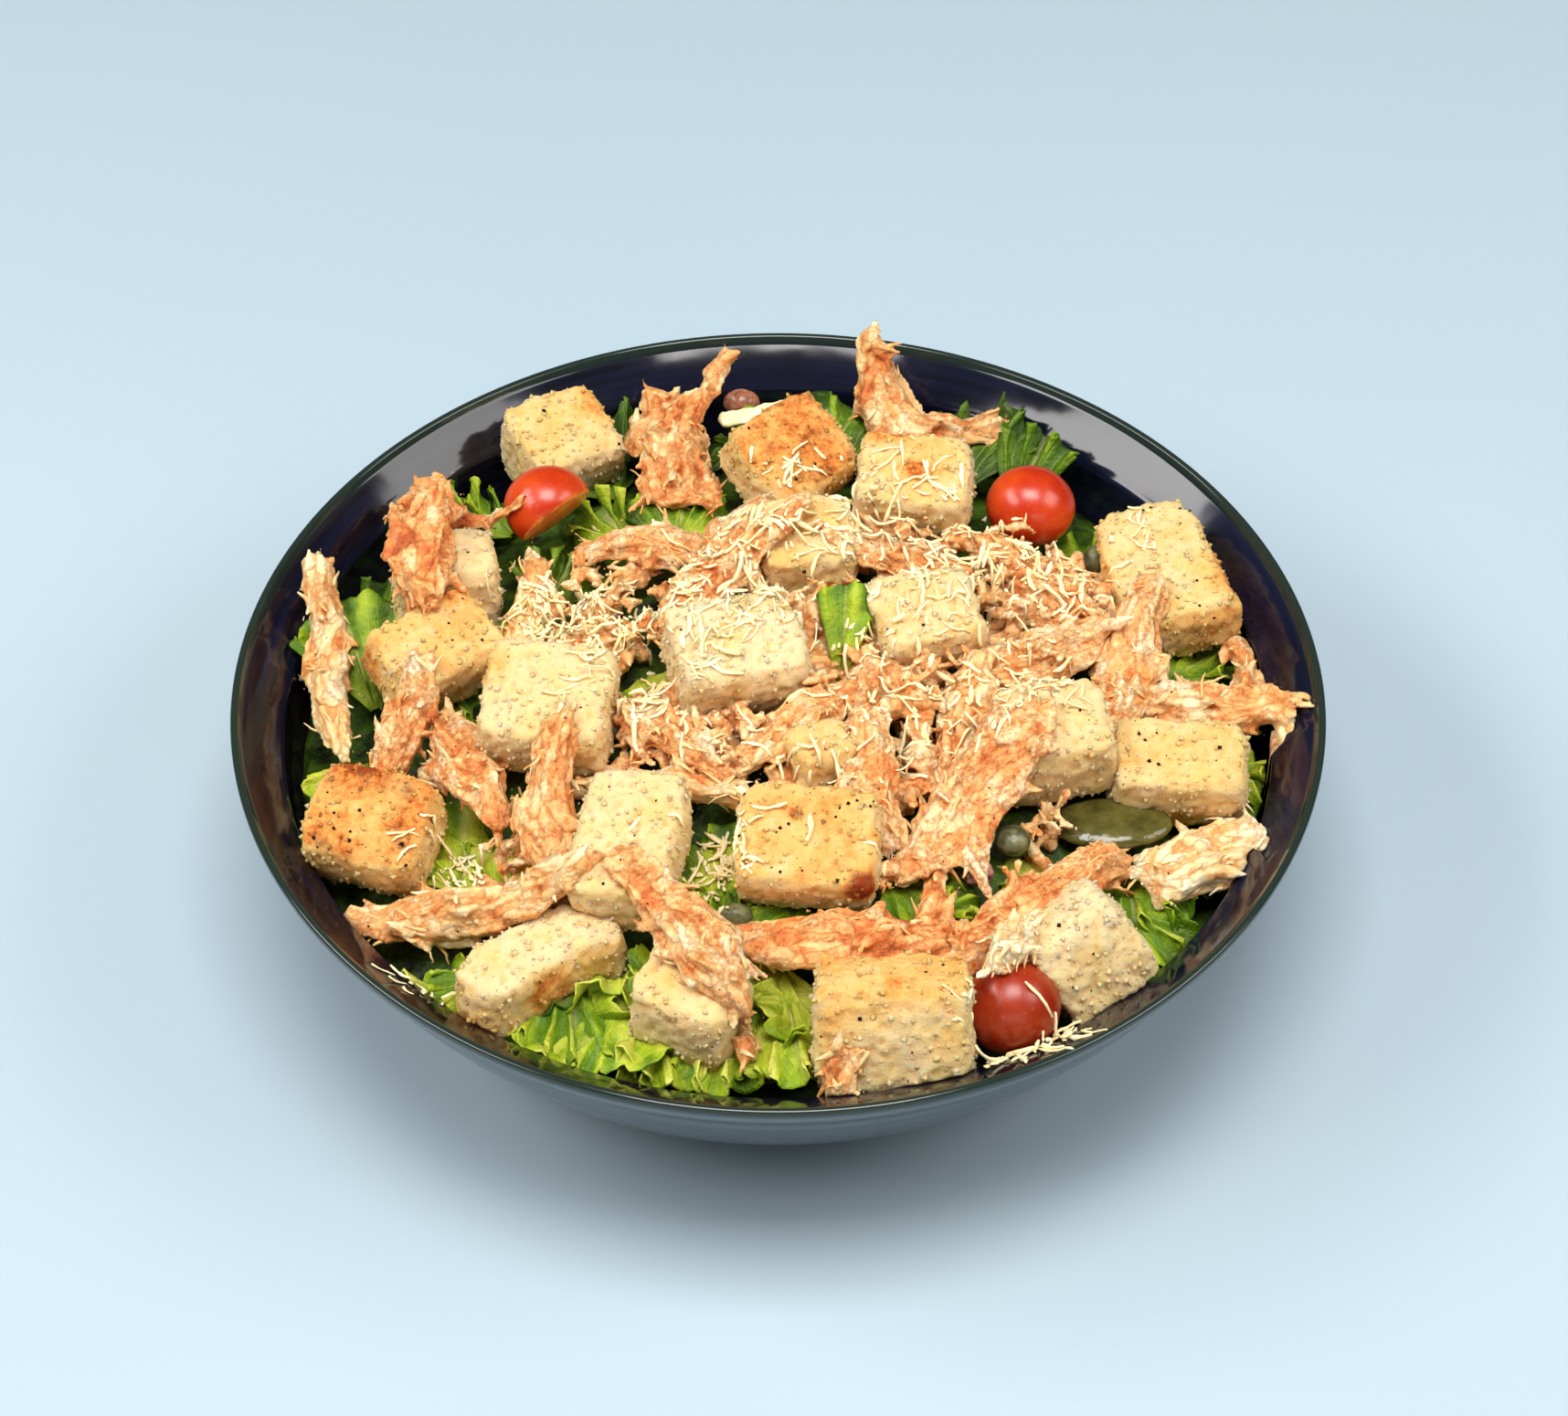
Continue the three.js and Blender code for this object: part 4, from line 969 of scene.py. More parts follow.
# lower relief in the grooves pushes the colour to a darker orange: partly the meat's own colour, partly painted
# shade
sauce = blush * 1.35 + fibres * 0.3 + fleck * 0.7 - painted(meat, "tone") * 0.28 - relief * 0.12 - 0.55
flesh = ramp(
    sauce,
    (0.0, tint(255, 234, 194)),
    (1.0, tint(180, 84, 36)),
    (0.2, tint(255, 218, 164)),
    (0.42, tint(251, 194, 128)),
    (0.6, tint(243, 168, 98)),
    (0.8, tint(222, 130, 66)),
)
spiced = mix(coat * grit.between(0.46, 0.62) * 0.6, flesh, tint(188, 88, 40))
# painted shade, partly the meat's own deeper colour: the grooves are mixed towards a darker orange-brown
folded = mix((relief * -1).between(0.3, 1.8) * 0.45, spiced, tint(206, 104, 42))
meat.paint(
    Base_Color=mix(painted(meat, "speck"), folded, tint(44, 24, 16)),
    Normal=bumped(fibres * 0.8 + grit * (0.6 + coat * 0.6), 0.0007, 0.8),
    Roughness=0.42 + coat * 0.25 + grit * 0.1,
)

# %% All the chicken
# strands, granular, pale, thick, flakes of pepper
CHICKEN = {
    "left_rear": (64, 0.45, -0.7, 1.0, 8), "back_left": (70, 0.4, -0.4, 1.0, 8),
    "back_horn": (46, 0.4, -0.3, 1.0, 8), "upper_left": (34, 0.5, 0.0, 1.0, 8),
    "centre_curl": (56, 0.6, 0.0, 1.0, 8), "left_fork": (36, 0.25, 0.25, 0.9, 8),
    "left_wall": (44, 0.2, 0.3, 0.9, 8), "left_brown": (30, 0.75, 0.0, 1.0, 8),
    "left_lump": (40, 0.6, 0.0, 1.0, 8), "left_tangle": (46, 0.45, 0.0, 0.85, 8),
    "front_left": (62, 0.3, 0.15, 1.0, 8), "long_strip": (28, 0.2, 0.2, 0.85, 8),
    "middle_crumbs": (34, 0.6, 0.1, 1.0, 8), "front_middle": (54, 0.4, 0.0, 1.0, 8),
    "front_fork": (66, 0.4, -0.6, 1.0, 8), "front_diagonal": (62, 0.45, -0.4, 1.0, 8),
    "right_pale": (40, 0.2, 0.8, 1.0, 8), "white_end": (14, 0.0, 0.8, 1.0, 1),
    "right_arch": (62, 0.35, 0.1, 1.0, 8), "right_inner": (56, 0.45, 0.0, 1.0, 8),
    "right_upper": (42, 0.5, 0.0, 1.0, 8), "centre_strip": (40, 0.45, 0.1, 1.0, 8),
    "middle_fork": (42, 0.4, 0.15, 1.0, 8), "front_right_heap": (60, 0.6, 0.0, 1.0, 8),
    "centre_diagonal": (38, 0.4, 0.1, 1.0, 8), "back_bits": (40, 0.7, 0.0, 1.0, 8),
    "upper_bits": (36, 0.7, 0.15, 1.0, 8), "crouton_scrap": (12, 0.5, 0.0, 1.0, 1),
}
for number, (name, look) in enumerate(CHICKEN.items()):
    made = torn(name, 300 + 11 * number, *look)
print(f"{len(CHICKEN)} scraps of chicken, the last with {len(made.data.polygons)} faces")

# %% [markdown]
# ## Tomatoes, capers and the other small things
# A cherry tomato is close to a ball, but never one: it has a flatter end, faint shoulders and a
# skin as glossy as a lamp. A round surface is best made by halving the triangles of a
# twenty-sided die until it is smooth, and then pushing it out of true. The tomato at the back left
# is cut, so a plane takes a slice off it and leaves its wet flesh, and the one in front gets a
# deeper red painted on as shade. The capers, the bean, the pickle and the onion are made the same
# way, each with wrinkles of its own size.


# %% Balls out of true
def ball():
    mesh = bmesh.new()
    bmesh.ops.create_icosphere(mesh, subdivisions=4, radius=1)
    points = np.array([tuple(v.co) for v in mesh.verts])
    faces = np.array([[v.index for v in face.verts] for face in mesh.faces])
    mesh.free()
    return points, faces


def grown(name, new_name, finish, slot, seed, dent, wrinkle=0.0, cut=None):
    """An uneven ball that fills the place of a plain one. `cut` is a plane: a way and a distance."""
    low, high = (np.array(corner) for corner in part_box(name))
    middle, half = (low + high) / 2, (high - low) / 2
    points, faces = ball()
    uneven = 1 + dent * lumps(points, 1.3, seed) - 0.5 * dent + wrinkle * lumps(points, 0.22, seed + 1, 2)
    points = points * uneven[:, None]
    flesh = np.zeros(len(points))
    if cut is not None:
        way, share = unit(np.array(cut[0], float)), cut[1]
        past = points @ way - share
        points = points - np.clip(past, 0, None)[:, None] * way * 0.96
        flesh = rise(past, 0.0, 0.04)
    return piece(new_name, points * half + middle, [faces], finish, slot, [name], flesh=flesh)


# %% Three cherry tomatoes
tomato_skin = Finish("tomato_skin", Specular_IOR_Level=0.6)
tomato_skin.paint(Subsurface_Weight=0.15, Subsurface_Scale=0.003, Subsurface_Radius=(1.0, 0.25, 0.1))
ripeness = mottle(tomato_skin, 0.012, 2, 0.5)
# painted shade: the tomato in front lies in shade, so its skin is mixed towards a dark red (tint 132, 30, 0)
# and made a little rougher
ripest = (split(tomato_skin, tomato_skin.place)[1] * -1).between(0.02, 0.05)
paler = mix(ripeness.between(0.35, 0.65), tint(186, 44, 6), tint(214, 76, 18))
skin = mix(ripest * 0.7, paler, tint(132, 30, 0))
pale_specks = mottle(tomato_skin, 0.0008, 1, 0.4).between(0.64, 0.74) * 0.2
pulp = mix(mottle(tomato_skin, 0.003, 3, 0.7).between(0.4, 0.6), tint(226, 96, 40), tint(240, 170, 80))
tomato_skin.paint(
    Base_Color=mix(painted(tomato_skin, "flesh"), mix(pale_specks, skin, tint(238, 130, 70)), pulp),
    Normal=bumped(mottle(tomato_skin, 0.004, 2), 0.0003, 0.15),
    Roughness=0.24 + ripeness * 0.1 + ripest * 0.04,
)
sliced = ((0.62, -0.62, -0.48), 0.3)
grown("tomato_back_left", "cherry_tomato_cut", tomato_skin, "tomato", 5, dent=0.05, cut=sliced)
grown("tomato_back_right", "cherry_tomato_right", tomato_skin, "tomato", 6, dent=0.05)
grown("tomato_front", "cherry_tomato_front", tomato_skin, "tomato", 8, dent=0.05)
print("three cherry tomatoes")


# %% Capers, bean, onion and pickle
def drifting(name, roughness, size, turn, dark, pale, grain, depth, strength):
    """A finish with a fine grain that drifts from dark to pale; `turn` says where in the noise."""
    finish = Finish(name, Roughness=roughness)
    tone = mottle(finish, size, 3, 0.6)
    finish.paint(
        Base_Color=mix(tone.between(*turn), tint(*dark), tint(*pale)),
        Normal=bumped(mottle(finish, *grain), depth, strength),
    )
    return finish


wide = (0.35, 0.65)
skin = drifting("caper_skin", 0.35, 0.003, wide, (62, 66, 40), (124, 124, 82), (0.0012, 3), 0.0004, 0.5)
grown("caper_front", "caper_at_front", skin, "caper", 11, dent=0.1, wrinkle=0.04)
grown("caper_right", "caper_at_right", skin, "caper", 12, dent=0.12, wrinkle=0.05)
grown("caper_back_right", "caper_at_back", skin, "caper", 13, dent=0.1, wrinkle=0.05)
skin = drifting("bean_skin", 0.25, 0.003, wide, (118, 62, 40), (196, 132, 98), (0.001, 2), 0.0003, 0.3)
grown("brown_bean", "bean", skin, "bean", 14, dent=0.1, wrinkle=0.015)
tight, layered = (0.4, 0.6), (0.002, 3, 0.6)
skin = drifting("onion_flesh", 0.25, 0.002, tight, (92, 22, 26), (206, 150, 142), layered, 0.0004, 0.4)
grown("onion_bit", "red_onion", skin, "onion", 15, dent=0.2, wrinkle=0.06)
# the pickle's colours are dark: partly the olive of brined cucumber, partly painted shade where it lies under a
# crouton
skin = drifting("brined_cucumber", 0.12, 0.006, wide, (58, 58, 20), (100, 94, 44), (0.0025, 3), 0.0006, 0.4)
skin.paint(Subsurface_Weight=0.2, Subsurface_Scale=0.004)
grown("pickle_slice", "pickled_cucumber", skin, "pickle", 16, dent=0.06, wrinkle=0.015)
print("capers, bean, onion and pickle")

# %% [markdown]
# ## Lettuce
# The greens are leaves of a frilly lettuce: a pale rib that fans out into a blade, whose margin
# has grown so much longer than the blade that it can only stand in ruffles. Cloth simulation could
# make such folds, but slowly and never twice where the salad wants them. So each leaf is a fan of
# points, and its margin is thrown out of the plane by a wave whose crests also lean sideways,
# which gives the curled-over folds of the real leaf. Leaves lie on a bed that stands for the heap
# below them, painted a dark green as the shade deep in the heap, and they are pressed down
# wherever a crouton or a scrap of chicken lies.

# %% The heap and what presses on it
HEAP_RADIUS, HEAP_EDGE, HEAP_CROWN, HEAP_SHOULDER, LEAF_COVER = 117, 56, 77, 2.2, 8
UP, DOWN, HIGH_ABOVE = Vector((0, 0, 1)), Vector((0, 0, -1)), 0.3
toppings = Pile()
for name in nodes:
    if name not in ("bowl", "lettuce_heap"):
        toppings.add(*solid(name))
pressing = toppings.tree()


def heap_height(x, y):
    share = np.minimum(1, np.hypot(x, y) / HEAP_RADIUS)
    return HEAP_EDGE + (HEAP_CROWN - HEAP_EDGE) * (1 - share**HEAP_SHOULDER)


def undersides(points):
    """How low the toppings reach over each point, in millimetres; very high where there are none."""
    found = np.full(len(points), 999.0)
    for number, (x, y) in enumerate(points[:, :2]):
        spot = pressing.ray_cast(Vector((x, y, 0)), UP)[0]
        if spot:
            found[number] = 1000 * spot.z
    return found


# %% The bed under the leaves
def bed():
    """A bumpy ground under the toppings, closed below by rings that follow the inside of the bowl."""
    rings, sides = 46, 150
    radii = np.linspace(0, HEAP_RADIUS + 2, rings)[1:]
    angles = np.linspace(0, 2 * math.pi, sides, endpoint=False)
    x = (radii[:, None] * np.cos(angles)).ravel()
    y = (radii[:, None] * np.sin(angles)).ravel()
    flat = np.stack([x, y, np.zeros_like(x)], axis=1)
    height = heap_height(x, y) - LEAF_COVER - 0.5 + 2.2 * lumps(flat, 11, 3, 2) + 1.6 * lumps(flat, 5, 9)
    height = np.minimum(height, undersides(flat * mm) - 0.6)
    height = np.maximum(height, inner_height(np.hypot(x, y)) + 0.8)
    under = []
    for radius in (116, 100, 60):
        low = np.full(sides, inner_height(radius) + 0.5)
        under.append(np.stack([radius * np.cos(angles), radius * np.sin(angles), low], axis=1))
    ends = [[0, 0, height[:sides].mean()], [0, 0, FLOOR_HEIGHT + 0.5]]
    points = np.vstack([np.stack([x, y, height], axis=1), *under, ends])
    return points * mm, *closed_rings(rings - 1 + len(under), sides)


# %% One leaf
LEAF_ROWS, MARGIN_STEP, LEAF_THICKNESS = 13, 0.76, 0.45


def leaf(at, turn, length, spread, climb, ruffle, seed, roll):
    """A grid of points in millimetres, how far across and along the leaf each lies, and how raised it is."""
    half = math.radians(spread) / 2
    columns = round(2 * half * length / MARGIN_STEP)
    u, v = np.meshgrid(np.linspace(-1, 1, columns), 1 - np.linspace(1, 0, LEAF_ROWS) ** 1.3)
    grid = np.arange(u.size).reshape(u.shape)
    u, v = u.ravel(), v.ravel()
    angle, edge = u * half, u * half * length
    # turned back against the tilt of the noise, so that a wave keeps its length along the margin
    line = np.stack([edge, np.full_like(u, seed * 37.0), np.zeros_like(u)], axis=1) @ ASKEW.T
    lobes = 0.15 * lumps(line, 11, seed) + 0.07 * lumps(line, 4, seed + 1) * v**3
    reach = length * (1 - 0.16 * u * u) * (1 + lobes) * (0.08 + 0.92 * v)
    reach = reach + 1.3 * lumps(line, 1.6, seed + 5) * v**5
    phase = 2 * math.pi * edge / 8 + 3.0 * lumps(line, 13, seed + 2) + seed
    tall = 0.85 * ruffle * np.clip(0.7 + 0.9 * lumps(line, 12, seed + 3), 0.1, 1.4)
    frill, tip = v**2.2, v**5
    up = tall * (frill * np.sin(phase) + 0.36 * tip * np.sin(2.15 * phase + seed))
    side = tall * (0.6 * frill * np.cos(phase) + 0.36 * tip * np.cos(2.15 * phase + seed))
    back = -0.5 * tall * frill * np.sin(phase) ** 2
    forward = (reach + back) * np.cos(angle) - side * np.sin(angle)
    sideways = (reach + back) * np.sin(angle) + side * np.cos(angle)
    flat = np.stack([forward, sideways, np.full_like(u, seed * 5.0)], axis=1) @ ASKEW.T
    folds = 3.2 * lumps(flat, 11, seed + 4) * v + 1.5 * lumps(flat, 4, seed + 6, 2)
    curl = -2.2 * v**4 * lumps(line, 17, seed + 7) - 3.0 * v * v
    crease = -1.4 * np.exp(-((u / 0.07) ** 2)) * (1 - v)
    points = np.stack([forward, sideways, up + folds + curl + crease + 2.4 * u * u * v], axis=1)
    pitch = Matrix.Rotation(math.radians(turn), 3, "Z") @ Matrix.Rotation(math.radians(-climb), 3, "Y")
    points = points @ np.array(pitch @ Matrix.Rotation(math.radians(roll), 3, "X")).T
    points = points + (at[0], at[1], float(heap_height(*at)) - LEAF_COVER + 1.5)
    # each leaf's own tone, lowered towards the back: that part is painted shade, which darkens the leaves
    # further back
    own_tone = np.full_like(u, 3 * seed % 10 - 0.04 * at[1])
    # the last value is the ruffle's height, which the finish paints as light on the crests and shade in the
    # troughs
    return points, grid, np.stack([u, v, own_tone], axis=1), np.clip(frill * np.sin(phase), -1, 1)


def pressed(points, grid):
    """Keeps a leaf in the bowl and below what lies on it."""
    edges = np.concatenate([
        np.stack([grid[:, :-1].ravel(), grid[:, 1:].ravel()], axis=1),
        np.stack([grid[:-1].ravel(), grid[1:].ravel()], axis=1),
    ])
    over = np.maximum(0, points[:, 2] - (undersides(points * mm) - 0.5))
    points[:, 2] -= np.maximum(over, softened(over, edges, 1, 0.5))
    reach = np.hypot(points[:, 0], points[:, 1])
    most = wall_at(np.maximum(points[:, 2] - 0.6, FLOOR_HEIGHT + 1)) - 0.9
    points[:, :2] *= np.minimum(1, most / reach)[:, None]
    return softened(points, edges, 1, 0.1)


def two_sided(points, grid, thickness):
    """Gives a sheet its thickness: an upper and a lower face, closed round the margin."""
    sheet = np.stack([grid[:-1, :-1], grid[:-1, 1:], grid[1:, 1:], grid[1:, :-1]], axis=-1)
    sheet = sheet.reshape(-1, 4)[:, ::-1]
    out = facing(points, sheet)
    count = len(points)
    rim = np.concatenate([grid[0, :-1], grid[:-1, -1], grid[-1, :0:-1], grid[:0:-1, 0]])
    after = np.roll(rim, -1)
    wall = np.stack([rim, after, after + count, rim + count], axis=1)
    both = np.vstack([points + out * thickness / 2, points - out * thickness / 2])
    return both, np.concatenate([sheet, sheet[:, ::-1] + count, wall])


# %% Where the leaves lie
# at, turn, length, spread, climb, ruffle
SHOWN = [
    ((-50, -78), -82, 32, 130, 6, 5.5), ((-36, -86), -118, 28, 140, 8, 5.5),
    ((-28, -92), -58, 26, 130, 12, 5.5), ((-64, -84), -152, 20, 130, 24, 4.5),
    ((-10, -94), -98, 24, 130, 10, 5.5), ((2, -88), -84, 28, 120, 12, 5.5), ((-58, -84), -40, 15, 150, 52, 4.5),
    ((-46, -92), 30, 14, 150, 58, 4.5), ((-32, -96), 100, 14, 160, 58, 4.5),
    ((-16, -101), 50, 14, 150, 60, 4.5), ((-4, -102), 160, 14, 150, 58, 4.5),
    ((6, -96), -160, 15, 150, 52, 4.5), ((-40, -84), -80, 15, 150, 46, 4.5),
    ((-24, -90), 180, 14, 150, 58, 4.5), ((-52, -98), -110, 13, 150, 50, 4.5),
    ((-2, -78), -112, 28, 130, 0, 5.0), ((10, -76), -20, 20, 130, 20, 4.5), ((6, -66), -120, 20, 140, 24, 4.5),
    ((-16, -50), -70, 22, 140, 18, 5.0), ((-14, -66), 70, 20, 140, 18, 5.0),
    ((-24, -50), -100, 22, 140, 14, 5.0), ((-74, -58), 96, 26, 120, 12, 4.5),
    ((-70, -44), -50, 24, 140, 10, 5.0), ((-84, -34), -100, 20, 120, 14, 4.5),
    ((-100, 4), 112, 34, 60, 30, 3.0), ((-100, -10), -104, 24, 80, 12, 3.5), ((-104, 24), 96, 24, 70, 30, 3.0),
    ((14, 86), 76, 28, 90, 32, 4.5), ((26, 92), 60, 20, 100, 26, 4.5), ((46, 84), 76, 30, 100, 36, 5.0),
    ((60, 76), 60, 28, 60, 44, 4.0), ((-26, 56), 84, 22, 120, 24, 5.0), ((-38, 58), 120, 20, 130, 18, 5.0),
    ((80, -60), -40, 20, 140, 18, 4.5), ((90, -44), -24, 18, 130, 16, 4.0), ((104, -14), -30, 18, 120, 18, 4.0),
    ((106, 26), 10, 14, 120, 22, 3.5), ((84, -50), -86, 20, 130, 14, 4.5), ((-24, 36), -60, 20, 130, 20, 4.5),
    ((30, -70), 20, 20, 130, 20, 5.0), ((26, -58), -40, 20, 130, 18, 5.0), ((15, -1), 82, 27, 36, 58, 1.5),
    ((-70, -84), -124, 22, 120, 8, 5.0), ((-40, 92), 108, 24, 110, 24, 4.0), ((14, 58), -60, 18, 130, 24, 4.5),
    ((-76, 72), 150, 20, 120, 20, 4.5), ((-58, 36), 70, 22, 130, 20, 5.0), ((-66, 26), -160, 18, 130, 16, 4.5),
    ((-34, 6), -60, 20, 130, 16, 4.5), ((16, 60), -90, 18, 130, 14, 4.5), ((88, 62), 40, 18, 120, 20, 4.0),
    ((40, -62), -100, 18, 130, 18, 5.0), ((70, -52), -130, 18, 130, 18, 4.5),
    ((-86, 14), -60, 18, 130, 14, 4.5),
]
random = np.random.default_rng(7)
shown = []
for angle in (10, 34, 52, 72, 90, 104, 118, 134, 154, 292):
    place = 98 + random.uniform(-5, 5)
    at = (place * math.cos(math.radians(angle)), place * math.sin(math.radians(angle)))
    shown.append((at, angle + random.uniform(-40, 40), random.uniform(15, 19), 120, random.uniform(0, 16), 4.5))

# %% All the leaves, one after another
leaves, blades, reliefs = Pile(), [], []
for number, place in enumerate(SHOWN + shown):
    points, grid, blade, relief = leaf(*place, seed=number + 1, roll=random.uniform(-12, 12))
    points, skin = two_sided(pressed(points, grid), grid, LEAF_THICKNESS)
    leaves.add(points * mm, skin)
    blades += [blade, blade]
    reliefs += [relief, relief]
leaf_points, leaf_faces = leaves.joined()
print(f"{len(SHOWN + shown)} leaves, {2 * len(leaf_faces)} triangles")

# %% [markdown]
# A leaf of this kind is bright yellow-green with a translucent margin, paler along its rib and
# veins. Light and shade are painted on as well: the troughs of the ruffles are darker and their
# crests paler, and the leaves further back are darker. Light that falls through one leaf onto the
# next is most of what makes greens look fresh, so the finish scatters some light below the surface.
# The veins run along the blade: thin, slightly wandering lines that fan out from the rib, lighter
# in colour and a little sunk.

# %% Leaf finishes
green = Finish("lettuce_leaf", Specular_IOR_Level=0.35)
green.paint(Subsurface_Weight=0.18, Subsurface_Scale=0.002, Subsurface_Radius=(0.55, 1.0, 0.15))
across, along, own = split(green, painted(green, "blade", "Vector"))
wander = mottle(green, 0.006, 2, 0.5)
fan = across * 34 + wander * 5
lines = fan.maths("SINE", fan).between(0.82, 1.0)
rib = (across.maths("ABSOLUTE", across) + along * 0.05).between(0.11, 0.05)
vein = (lines * 0.45 + rib) * (1.15 - along)
tone = mottle(green, 0.011, 3, 0.6)
# painted light and shade: ruffle crests (relief above 0) are paler, troughs darker, and leaves further back
# darker through own
ripe = ramp(
    tone * 0.9 + along * 0.06 - painted(green, "relief") * 0.22 - own * 0.04 + 0.31,
    (0.0, tint(220, 222, 104)),
    (1.0, tint(46, 76, 6)),
    (0.36, tint(186, 200, 54)),
    (0.5, tint(150, 176, 28)),
    (0.66, tint(98, 134, 14)),
)
crinkle = mottle(green, 0.003, 4, 0.65)
green.paint(
    Base_Color=mix(vein.between(0.0, 1.0) * 0.7, ripe, tint(222, 222, 146)),
    Normal=bumped(crinkle + vein * -0.3, 0.0022, 0.7),
    Roughness=0.36 + tone * 0.14,
)
# painted shade: the bed is a near-black green, standing for the shade deep in the heap between the leaves
shade = Finish("lettuce_bed_shade", Roughness=0.5, Specular_IOR_Level=0.3)
depth = mottle(shade, 0.007, 3, 0.6)
shade.paint(
    Base_Color=mix(depth.between(0.35, 0.7), tint(18, 28, 5), tint(70, 100, 20)),
    Normal=bumped(depth, 0.003, 0.8),
)
bed_points, bed_squares, bed_caps = bed()
piece("shaded_bed_of_leaves", bed_points, [bed_squares, bed_caps], shade, "lettuce", ["lettuce_heap"])
piece(
    "frilly_leaves", leaf_points, [leaf_faces], green, "lettuce", ["lettuce_heap"],
    blade=np.vstack(blades), relief=np.concatenate(reliefs),
)
print("lettuce is laid")

# %% [markdown]
# ## Small scraps
# Pulling chicken apart leaves as many crumbs and short shreds as large pieces, and they fill the
# hollows between the croutons. They could be scattered as copies of a few shapes, but meat this
# wet sticks together. So short strands are thrown into each hollow, wherever no large piece lies,
# and melted into one ragged mass in the same way as the large scraps.

# %% Where the small scraps gather
# middle x and y, reach in x and y, depth of the pile in millimetres, number of scraps
GATHERED = [
    (9, 24, 12, 24, 15, 120), (40, 46, 24, 11, 15, 120), (66, 28, 22, 22, 15, 210), (30, -12, 24, 24, 14, 210),
    (-4, -22, 20, 12, 14, 100), (36, -6, 16, 8, 17, 60), (-30, -16, 13, 13, 10, 60),
    (-56, -40, 16, 18, 10, 100), (-92, -18, 10, 10, 8, 30), (-36, 38, 16, 10, 9, 50), (-14, 50, 16, 10, 10, 50),
    (66, -2, 12, 10, 12, 60), (48, -40, 20, 12, 11, 110), (90, 0, 12, 9, 10, 44), (14, 56, 14, 7, 9, 24),
    (36, 64, 14, 5, 9, 20), (82, 40, 9, 14, 10, 40), (-78, -64, 14, 8, 6, 28), (-60, -62, 9, 10, 8, 40),
    (26, -34, 6, 10, 10, 24), (-46, 16, 14, 12, 11, 80), (-22, -26, 20, 10, 11, 90), (8, -30, 10, 10, 10, 50),
]
SHORT_STEP = 1.4
SCRAP_VOXEL = 0.98 * mm


def place_in(oval, random):
    """A random place in an oval, and how far out in it that is."""
    middle_x, middle_y, reach_x, reach_y = oval
    spread, around = math.sqrt(random.random()), random.uniform(0, 2 * math.pi)
    x = middle_x + reach_x * spread * math.cos(around)
    y = middle_y + reach_y * spread * math.sin(around)
    return x, y, spread


def short_strand(x, y, height, broad, random):
    """A short bent strand in a hollow, or nothing where a large piece lies."""
    low = float(heap_height(x, y)) - LEAF_COVER
    spot = pressing.ray_cast(Vector((x * mm, y * mm, HIGH_ABOVE)), DOWN)[0]
    if spot and spot.z * 1000 > low + min(height, 6):
        return None
    turn, pitch = random.uniform(0, 2 * math.pi), random.normal(0.05, 0.3)
    way = np.array((math.cos(turn) * math.cos(pitch), math.sin(turn) * math.cos(pitch), math.sin(pitch)))
    path = [np.array((x, y, low + height))]
    for _ in range(random.integers(4, 8)):
        way = unit(way + random.normal(0, 0.26, 3) * (1, 1, 0.6))
        path.append(path[-1] + way * SHORT_STEP)
    path = np.array(path)
    swell = np.clip(np.sin(np.pi * np.linspace(0.06, 0.94, len(path))), 0, 1) ** 0.5
    swell = swell * random.uniform(0.7, 1.3, len(path))
    return path * mm, np.maximum(broad * swell, 0.5) * mm


# %% Throw them in and melt them
random = np.random.default_rng(77)
scraps, marks, tones = Pile(), [], []
for *oval, deep, number in GATHERED:
    for _ in range(number):
        x, y, spread = place_in(oval, random)
        pile = deep * (1 - 0.25 * spread**2) + 1.5 * float(lumps(np.array([[x, y, 0.0]]), 7, 12)[0])
        if random.random() < 0.3:
            made = short_strand(x, y, (pile - 3) * random.random(), random.uniform(2.2, 3.8), random)
        else:
            made = short_strand(x, y, pile - 4.5 * random.random() ** 1.5, random.uniform(0.7, 1.8), random)
        if made is None:
            continue
        path, widths = made
        up = np.tile((0.0, 0.0, 1.0), (len(path), 1))
        scraps.add(*tube(path, up, widths, widths * 0.75))
        marks += marks_on(path, up, SHORT_STEP * mm * np.arange(len(path)), len(scraps.shells))
        tones += [random.random()] * len(path)
skin = melted(scraps, marks, tones, 5, 0.45, SCRAP_VOXEL)
mass = scrap_of_meat("small_scraps", skin, random, 400, 0.05, 60, ["lettuce_heap"])
print(f"{len(scraps.shells)} small scraps in one mass, {len(mass.data.polygons)} faces")

# %% [markdown]
# ## Parmesan
# Grated parmesan falls as short, dry, slightly curled shreds about a millimetre wide. Most of them
# lie across the middle and the right, a small drift has landed on the ledge at the front, and they
# bridge whatever gaps they fall over. Hair particles could scatter them, but they would lie inside
# the food or float. Each shred is dropped instead: rays find what lies under each of its points,
# and a stiffness keeps it from sagging into every hole. The one large curl at the back is cut
# thicker, so it keeps its own solid and gets a torn, waxy surface.

# %% What the cheese falls on
tops = Pile()
for points, triangles in laid:
    a, b, c = (points[triangles[:, k]] for k in range(3))
    looks_up = np.cross(b - a, c - a)[:, 2] > 0
    tops.add(points, triangles[looks_up & (a[:, 2] > 0.03)])
ground = tops.tree()
print(f"the cheese falls on {sum(map(len, tops.faces))} triangles")


def landing(x, y):
    spot = ground.ray_cast(Vector((x, y, HIGH_ABOVE)), DOWN)[0]
    return spot.z if spot else None


